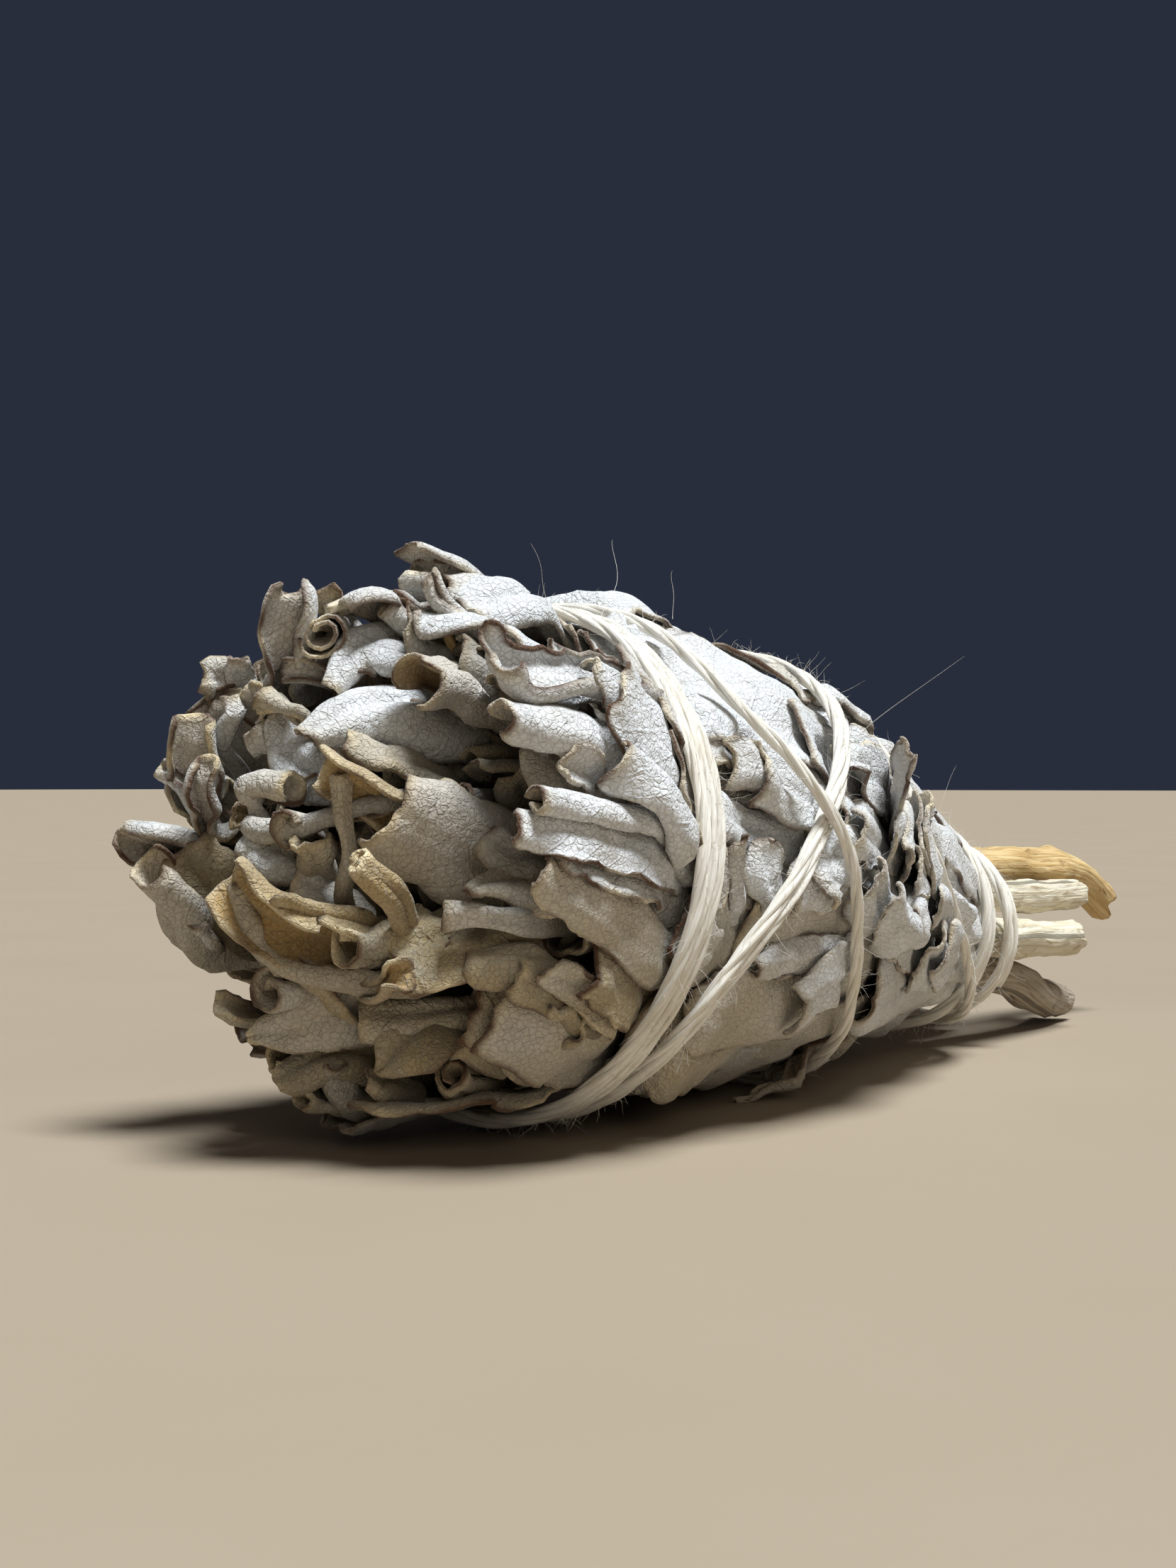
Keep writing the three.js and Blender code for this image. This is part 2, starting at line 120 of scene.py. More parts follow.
def whereabouts(points):
    """The stations, angles and radii of points."""
    stations = points[..., 0] - STATION_ZERO_X
    across = AXIS_Y - points[..., 1]
    up = points[..., 2] - axis_height(stations)
    return stations, np.degrees(np.arctan2(up, across)), np.hypot(across, up)


def outward(points):
    """Vectors from the bundle's axis to points."""
    out = points.copy()
    out[..., 0] = 0
    out[..., 1] -= AXIS_Y
    out[..., 2] -= axis_height(points[..., 0] - STATION_ZERO_X)
    return out


def unit(vectors):
    return vectors / np.maximum(np.linalg.norm(vectors, axis=-1, keepdims=True), 1e-9)


def square_to(tangent, directions):
    """Unit vectors along directions, made square to the tangent."""
    return unit(directions - tangent * np.sum(directions * tangent, axis=1, keepdims=True))


def distances(path):
    """How far along a path each of its points is."""
    return np.concatenate([[0], np.cumsum(np.linalg.norm(np.diff(path, axis=0), axis=1))])


def even_out(rows, passes):
    """Smooths rows in place, all but the first and the last."""
    for _ in range(passes):
        rows[1:-1] = (rows[:-2] + 2 * rows[1:-1] + rows[2:]) / 4


def ease(t):
    """Rises smoothly from 0 to 1 while t does."""
    t = np.clip(t, 0.0, 1.0)
    return t * t * (3 - 2 * t)


def spline(points, where):
    """Points and unit tangents of a Catmull-Rom curve through points, at where from 0 to 1."""
    points = np.asarray(points, float)
    ends = np.vstack([2 * points[0] - points[1], points, 2 * points[-1] - points[-2]])
    spans = len(points) - 1
    scaled = np.clip(np.asarray(where, float), 0, 1) * spans
    index = np.minimum(scaled.astype(int), spans - 1)
    t = (scaled - index)[..., None]
    a, b, c, d = (ends[index + k] for k in range(4))
    bend = 2 * a - 5 * b + 4 * c - d
    twist = 3 * b - a - 3 * c + d
    at = 0.5 * (2 * b + (c - a) * t + bend * t**2 + twist * t**3)
    return at, unit((c - a) + 2 * bend * t + 3 * twist * t**2)


LATTICE_SIZE = 64
LATTICE = np.random.default_rng(7).random((LATTICE_SIZE,) * 3)
SEED_SHIFT = 17.3               # between the patterns of one seed and the next, in lattice cells
LATTICE_START = 101.0           # where the part's own frame begins in it


def noise(points, size, seed=0):
    """Smooth noise from about -1 to 1, with features of about size millimetres."""
    spots = np.asarray(points, float) / size + SEED_SHIFT * seed + LATTICE_START
    low = np.floor(spots).astype(int)
    part = ease(spots - low)
    total = np.zeros(spots.shape[:-1])
    for corner in np.ndindex(2, 2, 2):
        weight = np.prod(np.where(corner, part, 1 - part), axis=-1)
        index = (low + corner) % LATTICE_SIZE
        total += weight * LATTICE[index[..., 0], index[..., 1], index[..., 2]]
    return 2 * total - 1


# ---------------------------------------------------------------- meshes

def show(name, data):
    """A new object in the scene."""
    thing = bpy.data.objects.new(name, data)
    bpy.context.scene.collection.objects.link(thing)
    return thing


def add_mesh(name, points, faces, slot, material, paint=None, blade_map=None, body="root"):
    """A piece of the object from points in millimetres. Its paint is two colours for each point,
    and its blade map is each point's place along and across the leaf, in millimetres."""
    mesh = bpy.data.meshes.new(name)
    mesh.from_pydata((points * MM).tolist(), [], faces)
    mesh.polygons.foreach_set("use_smooth", [True] * len(mesh.polygons))
    if paint is not None:
        for layer, colours in zip(("rim_paint", "blade_paint"), paint):
            attribute = mesh.color_attributes.new(layer, "FLOAT_COLOR", "POINT")
            rgba = np.hstack([colours, np.ones((len(colours), 1))])
            attribute.data.foreach_set("color", rgba.astype(np.float32).ravel())
    if blade_map is not None:
        corners = np.empty(len(mesh.loops), dtype=np.int32)
        mesh.loops.foreach_get("vertex_index", corners)
        layer = mesh.uv_layers.new(name="blade")
        layer.data.foreach_set("uv", blade_map[corners].astype(np.float32).ravel())
    mesh.materials.append(material)
    mesh.validate()
    piece = show(name, mesh)
    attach(piece, body)
    return piece


def quads(a, b, c, d):
    return np.stack([a, b, c, d], axis=-1).reshape(-1, 4)


def grid_normals(grid):
    along = np.gradient(grid, axis=0)
    across = np.gradient(grid, axis=1)
    return unit(np.cross(across, along))


def plate_faces(rings, columns):
    """Faces of a closed plate: its upper grid, then its lower grid, then the rim between them."""
    upper = np.arange(rings * columns).reshape(rings, columns)
    lower = upper + rings * columns
    edge_loop = np.concatenate([
        upper[0, :], upper[1:, -1], upper[-1, -2::-1], upper[-2:0:-1, 0],
    ])
    rim = 2 * rings * columns + np.arange(len(edge_loop))
    top = quads(upper[:-1, :-1], upper[:-1, 1:], upper[1:, 1:], upper[1:, :-1])
    under = quads(lower[:-1, :-1], lower[1:, :-1], lower[1:, 1:], lower[:-1, 1:])
    below = edge_loop + rings * columns
    next_above, next_rim, next_below = (np.roll(row, -1) for row in (edge_loop, rim, below))
    side = np.vstack([
        quads(edge_loop, rim, next_rim, next_above), quads(rim, below, next_below, next_rim),
    ])
    return np.vstack([top, under, side]).tolist(), edge_loop


# ---------------------------------------------------------------- the string's route

SLANTED_PITCH = 0.95            # how far one turn lies from the next
BAND_PITCH = 0.95
NECK_PITCH = 1.4
SLANTED_TURNS = 2
BAND_TURNS = 3
STEP_ANGLE = 4                  # between points of the route, in degrees
ROUTE_SMOOTHING = 12            # how many times its kinks are evened out
STRING_START = (560, 83)        # angle and station of the end that is wound first
NECK_START = (-450, 88)         # of the place where the last turns at the neck start
STRING_END = -1120              # and the angle at which they end

# [angle, station] of one turn of the slanted turns and one of the band, of the way from one part
# of the winding to the next, and of the last pass, which ends at the neck
SLANTED = [
    (-270, 50), (-225, 46), (-180, 36), (-135, 27), (-90, 22.5), (-53, 21.8), (-44, 22),
    (-26, 24), (-11, 27.5), (4, 32), (12, 34.5), (21, 38), (34, 44), (60, 48.5), (90, 50),
]
BAND = [
    (-270, 25), (-225, 24), (-180, 21.5), (-135, 19.2), (-90, 18.6), (-48, 17.6), (-27, 18.2),
    (4, 20.3), (30, 21.4), (60, 23), (90, 25),
]
NECK_TO_SLANTED = [(-270, 51.4), (-225, 58), (-180, 66), (-135, 75), (-90, 80.5)]
SLANTED_TO_BAND = [
    (-270, 23.4), (-240, 22), (-210, 21.2), (-180, 21.5), (-150, 22.6), (-120, 21.9), (-90, 21.2),
]
LAST_PASS = [
    (-450, 88), (-425, 85), (-399, 80), (-372, 71), (-360, 65), (-350, 60), (-340, 57.5),
    (-270, 56), (-180, 55), (-90, 53), (-64, 51), (-43, 47), (-30, 43.3), (-19, 41), (-7, 38.3),
    (3, 36.5), (11, 34), (22, 30.3), (33, 28.4), (44, 27.6), (59, 28), (90, 28.3),
]


def looked_up(table, angle):
    angles, stations = zip(*table)
    return float(np.interp(angle, angles, stations))


def climb(angle, middle, reach):
    """How far the string climbs over an older pass: all the way at its middle, 0 at its ends."""
    return CROSSING_LIFT * float(ease(1.6 * (1 - abs(angle - middle) / reach)))


def string_route():
    """The string's [station, angle, lift] from end to end, with its kinks evened out."""
    route = []

    def wind(start, end, station, lift=lambda angle: 0.0):
        for angle in np.arange(start, end, -STEP_ANGLE):
            route.append((station(angle), angle - turned, lift(angle)))

    turned = 0
    first, first_station = STRING_START
    wind(first, -90, lambda angle: first_station - NECK_PITCH * (first - angle) / 360)
    wind(-90, -270, lambda angle: looked_up(NECK_TO_SLANTED, angle))
    for turn in range(SLANTED_TURNS):
        turned += 360
        end = -270 if turn < SLANTED_TURNS - 1 else -90
        wind(90, end, lambda angle: looked_up(SLANTED, angle)
             + SLANTED_PITCH * (0.75 - turn - (90 - angle) / 360))
    wind(-90, -270, lambda angle: looked_up(SLANTED_TO_BAND, angle))
    for turn in range(BAND_TURNS):
        turned += 360
        wind(90, -270, lambda angle: looked_up(BAND, angle)
             + BAND_PITCH * (turn + (90 - angle) / 360 - 1.25),
             lambda angle: climb(angle, -172, 60))
    turned += 360
    last, last_station = NECK_START
    wind(90, last, lambda angle: looked_up(LAST_PASS, angle), lambda angle: (
        climb(angle, 11, 17) + climb(angle, -238, 36) + climb(angle, -403, 30)))
    wind(last, STRING_END, lambda angle: last_station + NECK_PITCH * (last - angle) / 360)
    route = np.array(route)
    even_out(route[:, 0], ROUTE_SMOOTHING)
    even_out(route[:, 2], ROUTE_SMOOTHING)
    return route


def string_path():
    """Points along the middle of the string, in millimetres."""
    stations, angles, lifts = ROUTE.T
    radii = outline_radius(stations) + STRING_LIFT + STRING_RADIUS + lifts
    path = place(stations, angles, radii)
    path[:, 2] = np.maximum(path[:, 2], STRING_RADIUS + FLOOR_CLEARANCE)
    return path


ROUTE = string_route()


# ---------------------------------------------------------------- how the leaves lie on each other
# The relief is a map round the bundle of how far the leaves laid so far stand from its outline.

CELL = 0.5                      # of the map along the stick, in millimetres
MAP_START = 2.0                 # leaf tips nearer the front than this leave no mark on it
MAP_END = 118.0
ANGLE_CELL = 1.5                # and round it, in degrees
EMPTY = -7.0                    # height on it where there is no leaf
PRESSED_DEPTH = 5.5             # how deep inside the outline the string's pressure is felt
STRING_REACH = 5.0              # stations further than this from the string aren't near it
STRING_REST = 0.7               # leaves nearer the string's middle than this are under it
STRING_SLOPE = 1.9              # and its pressure fades over this width beside it
KEPT_SHARE = 0.2                # leaves keep this share of their height at the least
PUFF = 1.3                      # how far leaves may stand outside the outline, clear of the string
UNDER = -1.2                    # and those that others are laid over
DENT = -0.2                     # and under the string
LIFTED = 1.6                    # where a rooted leaf stands out more, it is free of the string
STACKED = 9.0                   # and where one laid over others does
ROOM_FOR_STRING = 1.1           # between the leaves and the floor
DEEPEST_BED = -2.5              # how deep a laid leaf sinks between the others
STIFF = 5.0                     # how sharply a leaf turns where it meets another
relief = np.full((int(MAP_END / CELL), int(360 / ANGLE_CELL)), EMPTY)


def map_cell(stations, angles):
    row = np.clip((stations / CELL).astype(int), 0, relief.shape[0] - 1)
    column = ((angles % 360) / ANGLE_CELL).astype(int) % relief.shape[1]
    return row, column


def heights(points):
    """Where points are on the map, and how far they stand from the outline."""
    stations, angles, radii = whereabouts(points)
    return stations, angles, radii - outline_radius(stations)


def pressed_part(stations, angles, height, lifted):
    """How far points stand out, up to where they are free of the string's pressure."""
    return np.minimum(height, lifted + (STACKED - lifted) * closeness[map_cell(stations, angles)])


def raise_relief(points, lifted):
    """Puts a leaf on the map."""
    stations, angles, height = heights(points)
    height = pressed_part(stations, angles, height + LEAF_THICKNESS / 2, lifted)
    keep = (stations > MAP_START) & (height > EMPTY)
    np.maximum.at(relief, map_cell(stations[keep], angles[keep]), height[keep])


def smoothed(grid, passes, mode="edge"):
    """A grid in which each value is averaged with its neighbours, so many times."""
    for _ in range(passes):
        padded = np.pad(grid, 1, mode=mode)
        grid = (padded[:-2, 1:-1] + padded[2:, 1:-1] + padded[1:-1, :-2] + padded[1:-1, 2:]
                + 2 * padded[1:-1, 1:-1]) / 6
    return grid


def widened(grid, passes, mode="edge"):
    """A grid in which high values spread to their neighbours, so many times."""
    for _ in range(passes):
        padded = np.pad(grid, 1, mode=mode)
        grid = np.max([padded[:-2, 1:-1], padded[2:, 1:-1], padded[1:-1, :-2],
                       padded[1:-1, 2:], grid], axis=0)
    return grid


def string_closeness():
    """For each cell of the map, 1 under the string and 0 more than a few millimetres from it."""
    stations = (np.arange(relief.shape[0]) + 0.5) * CELL
    angles = (np.arange(relief.shape[1]) + 0.5) * ANGLE_CELL
    nearest = np.full(relief.shape, 99.0)
    for station, angle, lift in ROUTE:
        if lift > 0.6 * CROSSING_LIFT:
            continue
        rows = np.abs(stations - station) < STRING_REACH
        around = (angles - angle + 180) % 360 - 180
        round_gap = np.radians(around)[None, :] * outline_radius(station)
        gap = np.hypot(round_gap, (stations[rows] - station)[:, None])
        nearest[rows] = np.minimum(nearest[rows], gap)
    return 1 - ease((nearest - STRING_REST) / STRING_SLOPE)


def pressure_map(puff):
    """For each cell of the map, the share of their height that the leaves keep. It changes slowly,
    so that leaves keep their relief, but follows the string closely."""
    top = widened(relief, 1, "wrap") + PRESSED_DEPTH + 0.01
    broad = np.clip((puff + PRESSED_DEPTH) / np.maximum(top, 0.1), KEPT_SHARE, 1.0)
    broad = smoothed(broad, 60, "wrap")
    near = np.clip((DENT + PRESSED_DEPTH) / np.maximum(top, 0.1), KEPT_SHARE, 1.0)
    near = np.minimum(smoothed(-widened(-near, 1, "wrap"), 2, "wrap"), broad)
    return broad + (near - broad) * closeness


def settle(points, lifted, pressure):
    """Presses points inside what the string and the floor leave for them."""
    stations, angles, height = heights(points)
    free = 1 - ease((stations - FREE_TIPS + 1) / 3)
    share = pressure[map_cell(stations, angles)]
    near = closeness[map_cell(stations, angles)]
    if lifted < STACKED:
        share = share + (1 - share) * free * (1 - near)
    buried = pressed_part(stations, angles, height, lifted) + PRESSED_DEPTH
    change = np.where(buried > 0, buried * (share - 1), 0)
    settled = place(stations, angles, outline_radius(stations) + height + change)
    clear = LEAF_THICKNESS / 2 + 0.02 + ROOM_FOR_STRING * near
    settled[..., 2] = np.maximum(settled[..., 2], clear)
    return settled


closeness = string_closeness()


# ---------------------------------------------------------------- materials

class Shader:
    """A node material and the few kinds of node that the materials here are made of."""

    def __init__(self, name, roughness, sheen):
        self.material = bpy.data.materials.new(name)
        self.material.use_nodes = True
        self.tree = self.material.node_tree
        self.surface = self.tree.nodes["Principled BSDF"]
        for socket, value in (("Roughness", roughness), ("Specular IOR Level", 0.1),
                              ("Sheen Weight", sheen), ("Sheen Roughness", 0.5)):
            self.surface.inputs[socket].default_value = value
        self.place = self.node("ShaderNodeTexCoord").outputs["Object"]

    def node(self, kind, **settings):
        node = self.tree.nodes.new(kind)
        for name, value in settings.items():
            setattr(node, name, value)
        return node

    def feed(self, socket, value):
        if isinstance(value, bpy.types.NodeSocket):
            self.tree.links.new(value, socket)
        else:
            socket.default_value = value

    def calc(self, operation, *values, clamp=False):
        node = self.node("ShaderNodeMath", operation=operation, use_clamp=clamp)
        for socket, value in zip(node.inputs, values):
            self.feed(socket, value)
        return node.outputs[0]

    def weighted(self, *parts, clamp=False):
        """The sum of values times their weights."""
        total = None
        for value, weight in parts:
            share = self.calc("MULTIPLY", value, weight)
            total = share if total is None else self.calc("ADD", total, share, clamp=clamp)
        return total

    def between(self, value, low, high, out_low=0.0, out_high=1.0):
        node = self.node("ShaderNodeMapRange", interpolation_type="SMOOTHSTEP")
        for name, number in zip(("Value", "From Min", "From Max", "To Min", "To Max"),
                                (value, low, high, out_low, out_high)):
            self.feed(node.inputs[name], number)
        return node.outputs["Result"]

    def mixed(self, share, first, second):
        """A mix of two colours, plain ones or other nodes'."""
        node = self.node("ShaderNodeMix", data_type="RGBA")
        self.feed(node.inputs["Factor"], share)
        for socket, colour in zip(node.inputs[6:8], (first, second)):
            plain = not isinstance(colour, bpy.types.NodeSocket)
            self.feed(socket, (*colour, 1) if plain else colour)
        return node.outputs[2]

    def mottle(self, size, detail=3.0, at=None, distortion=0.0):
        """Noise from 0 to 1 with features of size millimetres."""
        node = self.node("ShaderNodeTexNoise")
        self.feed(node.inputs["Vector"], self.place if at is None else at)
        node.inputs["Scale"].default_value = 1 / (size * MM) if at is None else 1 / size
        node.inputs["Detail"].default_value = detail
        node.inputs["Distortion"].default_value = distortion
        return node.outputs["Fac"]

    def cells(self, size):
        """Distance to the nearest wall of a net of cells of size millimetres, in cells."""
        node = self.node("ShaderNodeTexVoronoi", feature="DISTANCE_TO_EDGE")
        self.feed(node.inputs["Vector"], self.place)
        node.inputs["Scale"].default_value = 1 / (size * MM)
        return node.outputs["Distance"]

    def paint(self, layer):
        attribute = self.node("ShaderNodeAttribute", attribute_name=layer)
        parts = self.node("ShaderNodeSeparateColor")
        self.feed(parts.inputs["Color"], attribute.outputs["Color"])
        return parts.outputs

    def blade_place(self):
        parts = self.node("ShaderNodeSeparateXYZ")
        self.feed(parts.inputs[0], self.node("ShaderNodeUVMap", uv_map="blade").outputs["UV"])
        return parts.outputs[0], parts.outputs[1]

    def stretched(self, along, around):
        """The blade map with its two lengths divided by along and around."""
        x, y = self.blade_place()
        node = self.node("ShaderNodeCombineXYZ")
        self.feed(node.inputs[0], self.calc("DIVIDE", x, along))
        self.feed(node.inputs[1], self.calc("DIVIDE", y, around))
        return node.outputs[0]

    def finish(self, colour, height):
        """Colour, and relief in millimetres."""
        self.feed(self.surface.inputs["Base Color"], colour)
        bump = self.node("ShaderNodeBump")
        bump.inputs["Distance"].default_value = MM
        self.feed(bump.inputs["Height"], height)
        self.feed(self.surface.inputs["Normal"], bump.outputs["Normal"])
        return self.material


PALE_LEAF = (0.73, 0.745, 0.76)
WARM_LEAF = (0.41, 0.32, 0.175)
GREEN_LEAF = (0.40, 0.405, 0.34)
GOLDEN_LEAF = (0.46, 0.30, 0.11)
# Painted shade: the dark brown of leaves deep inside the bundle, where shade falls
PAINTED_SHADE_BROWN = (0.085, 0.07, 0.045)
BROWN_RIM = (0.11, 0.06, 0.035)
CREAM_RIM = (0.74, 0.62, 0.40)
VEIN_BROWN = (0.2, 0.165, 0.11)
WHITE_DOWN = (0.74, 0.74, 0.73)
# Darker tan for the low hollows between fibres: the cotton's own tone and painted shade
COTTON_HOLLOW_SHADE = (0.74, 0.69, 0.59)
COTTON_LIGHT = (0.88, 0.86, 0.80)
COTTON_DIRT = (0.58, 0.49, 0.34)
VEIN_NET = 0.5                  # size of the cells of the net of fine veins
SIDE_VEIN_PITCH = 2.7
SIDE_VEIN_SLANT = 0.85          # how far side veins run on along the leaf for each step across it


def leaf_material():
    """Velvety dried sage: a net of fine veins, side veins from a midrib, coloured margins, and
    painted shade on leaves inside the bundle.
    """
    shader = Shader("sage_leaf", 0.88, 0.18)
    warm, brown, cream = shader.paint("rim_paint")[:3]
    gold, dark, torn = shader.paint("blade_paint")[:3]
    broad = shader.mottle(3.5)
    patch = shader.mottle(1.3)
    grain = shader.mottle(0.16, detail=2.0)
    net = shader.between(shader.cells(VEIN_NET), 0.0, 0.12, 1.0, 0.0)
    pebbles = shader.mottle(0.42, detail=1.5)
    along, across = shader.blade_place()
    slant = shader.calc("MULTIPLY", shader.calc("ABSOLUTE", across), SIDE_VEIN_SLANT)
    sway = shader.calc("MULTIPLY", broad, 1.5)
    phase = shader.calc("ADD", shader.calc("SUBTRACT", along, slant), sway)
    phase = shader.calc("FRACT", shader.calc("DIVIDE", phase, SIDE_VEIN_PITCH))
    beat = shader.calc("ABSOLUTE", shader.calc("SUBTRACT", phase, 0.5))
    side_vein = shader.between(beat, 0.0, 0.07, 1.0, 0.0)

    uneven = shader.calc("MULTIPLY", shader.calc("SUBTRACT", broad, 0.5), 0.5)
    tone = shader.calc("ADD", warm, uneven, clamp=True)
    colour = shader.mixed(tone, PALE_LEAF, WARM_LEAF)
    colour = shader.mixed(shader.between(patch, 0.5, 0.75, 0.0, 0.35), colour, GREEN_LEAF)
    colour = shader.mixed(shader.calc("MULTIPLY", gold, 0.9), colour, GOLDEN_LEAF)
    # Painted shade: leaves inside the bundle, and towards their roots, turn dark brown
    colour = shader.mixed(dark, colour, PAINTED_SHADE_BROWN)
    lines = shader.weighted((net, 0.15), (side_vein, 0.06), clamp=True)
    colour = shader.mixed(lines, colour, VEIN_BROWN)
    # White down, with less of it where shade is painted
    down = shader.calc("MULTIPLY", shader.between(grain, 0.45, 0.75, 0.0, 0.25),
                       shader.calc("SUBTRACT", 1.0, dark))
    colour = shader.mixed(down, colour, WHITE_DOWN)
    colour = shader.mixed(shader.calc("MULTIPLY", torn, 0.25), colour, CREAM_RIM)
    colour = shader.mixed(cream, colour, CREAM_RIM)
    colour = shader.mixed(brown, colour, BROWN_RIM)
    return shader.finish(colour, shader.weighted(
        (net, -0.05), (side_vein, 0.06), (patch, 0.25), (pebbles, 0.2), (grain, 0.09)))


def string_material():
    """Soft unbleached cotton: fibres along the plies, and a darker tan, partly their own tone and
    partly painted shade, in the low hollows between them.
    """
    shader = Shader("cotton", 0.92, 0.35)
    fibres = shader.mottle(1.0, detail=4.0, at=shader.stretched(1.6, 0.11))
    strands = shader.mottle(1.0, detail=2.0, at=shader.stretched(3.0, 0.3))
    dirt = shader.mottle(6.0, detail=2.0)
    # Darker tan where the fibre relief is low: partly painted shade in the hollows
    colour = shader.mixed(shader.between(fibres, 0.3, 0.7), COTTON_HOLLOW_SHADE, COTTON_LIGHT)
    colour = shader.mixed(shader.between(dirt, 0.45, 0.75, 0.0, 0.3), colour, COTTON_DIRT)
    return shader.finish(colour, shader.weighted((fibres, 0.06), (strands, 0.08)))


def stem_material(name, light, middle, dark):
    """A dried stem: long streaks and ridges, and dark flecks where bark is left."""
    shader = Shader(name, 0.72, 0.05)
    streaks = shader.mottle(1.0, detail=5.0, at=shader.stretched(7.0, 0.35))
    shreds = shader.mottle(1.0, detail=3.0, at=shader.stretched(2.5, 0.7), distortion=0.6)
    colour = shader.mixed(shader.between(streaks, 0.3, 0.68), middle, light)
    colour = shader.mixed(shader.between(shreds, 0.55, 0.72, 0.0, 0.7), colour, dark)
    return shader.finish(colour, shader.weighted((streaks, 0.25), (shreds, -0.18)))


LEAF_MATERIAL = leaf_material()
COTTON = string_material()
GOLDEN_STEM = stem_material(
    "golden_stem", (0.66, 0.50, 0.26), (0.46, 0.29, 0.11), (0.24, 0.13, 0.05))
PALE_STEM = stem_material("pale_stem", (0.74, 0.69, 0.56), (0.60, 0.52, 0.36), (0.36, 0.27, 0.16))
GREY_STEM = stem_material("grey_stem", (0.42, 0.36, 0.28), (0.28, 0.23, 0.17), (0.13, 0.09, 0.06))


# ---------------------------------------------------------------- leaves

# What a leaf is unless its line in the layout says otherwise. Lengths are millimetres and angles
# degrees; warm, gold, brown and cream are shares of those colours on the blade, on its inner side
# and along its margin. Warm is partly the leaf's own tan and partly painted shade and warm bounce
# light, as leaves low on the bundle are given more of it.
LEAF = {
    "width": 9.0, "curl": 90.0, "turn": 0.0, "base": 0.3, "tip": 0.45,
    "faces": None,      # direction of its outer side, where that isn't outward
    "hem": 22.0,        # extra roll of the two margins
    "fold": 0.0,        # sharp fold along the leaf
    "fold_at": 0.1,     # and where it is, from -1 to 1 across the leaf
    "spiral": 0.0,      # more curl on one side than on the other
    "flare": 0.0,       # how much the curl opens at the tip, from 0 to 1
    "twist": 15.0,      # how much it turns to and fro along its length
    "stray": 0.5,       # how far its spine strays from its places
    "groove": 0.5,      # depth of the groove along its midrib
    "pillow": 0.3,      # how much its two halves bulge
    "wave": 0.4,        # slow swells of the blade
    "crease": 0.45,     # sharp creases in it
    "ruffle": 0.5,      # swells along the margins
    "ragged": 0.5,      # depth of the tears in the tip
    "torn": 0.3,        # and of those in the margins
    "dark": 0.0,        # share of painted shade, a dark brown standing in for the shade inside the bundle
    "root_dark": 0.0,   # and how much more of that painted shade comes towards the leaf's root
    "warm": 0.18, "gold": 0.3, "brown": 0.85, "cream": 0.35,
    "step": MESH_STEP,
}
LAID_CURL = 75.0                # of a leaf that is laid over others
COURSE_POINTS = 240             # of the curve on which a leaf's length is measured
BLUNT_TIP = 0.4                 # leaves with a narrower tip are pointed
TIP_START = 0.72                # share of a leaf's length that its torn end doesn't reach
SCALLOP_DEPTH = 0.1
SCALLOP_RATE = 2.6              # of the scallops along a margin, in radians a millimetre
GROOVE_WIDTH = 0.7              # of the groove over the midrib
FULL_RELIEF_WIDTH = 8.0         # narrower leaves have less relief
MIDRIB_HEIGHT = 0.16
MIDRIB_WIDTH = 0.4
RIM_BULGE = 0.35                # how far the rim stands out, as a share of the leaf's thickness


def half_widths(shape, u):
    """Half the leaf's width at each place along it."""
    base = shape["base"] + (1 - shape["base"]) * ease(u / 0.5)
    outer = np.clip((u - 0.5) / 0.5, 0, 1)
    end = 1 - outer ** 1.4 if shape["tip"] < BLUNT_TIP else np.sqrt(1 - outer ** 3)
    tip = shape["tip"] + (1 - shape["tip"]) * end
    return 0.5 * shape["width"] * base * tip


def blade_section(shape, v, u, half, seed):
    """Where a row of the blade is, across its spine and inward from it."""
    spot = stacked(3 * u[:, None], v[None, :], 0.37 * seed)
    bend = math.radians(shape["curl"]) / 2
    opening = 1 - shape["flare"] * ease((u - 0.55) / 0.45)
    uneven = 1 + 0.45 * min(1, 150 / (shape["curl"] + 1)) * noise(spot, 0.9, seed)
    angle = bend * opening[:, None] * uneven * (v + shape["spiral"] * v * v)
    hem = math.radians(shape["hem"]) * np.sign(v) * ease((np.abs(v) - 0.72) / 0.28)
    angle = angle + hem * (1 + 0.8 * noise(spot, 0.45, seed + 1))
    angle += math.radians(shape["fold"]) * (ease((v - shape["fold_at"]) / 0.12) - 0.5)
    stride = half[:, None] * (v[1] - v[0])
    run = np.cos(angle) * stride
    drop = np.sin(angle) * stride
    middle = len(v) // 2
    sums = []
    for values in (run, drop):
        between = (values[:, 1:] + values[:, :-1]) / 2
        total = np.pad(np.cumsum(between, axis=1), ((0, 0), (1, 0)))
        sums.append(total - total[:, middle:middle + 1])
    return sums


def leaf_rows(points, shape, hidden):
    """How far along a leaf its rows of points are, in millimetres and as a share of its spine."""
    fine = np.linspace(0, 1, COURSE_POINTS)
    lengths = distances(spline(points, fine)[0])
    start = lengths[-1] * hidden
    coarse_rows = np.arange(0, start, HIDDEN_STEP)
    fine_count = max(4, int((lengths[-1] - start) / shape["step"]))
    along = np.concatenate([coarse_rows, np.linspace(start, lengths[-1], fine_count)])
    return along, np.interp(along, lengths, fine)


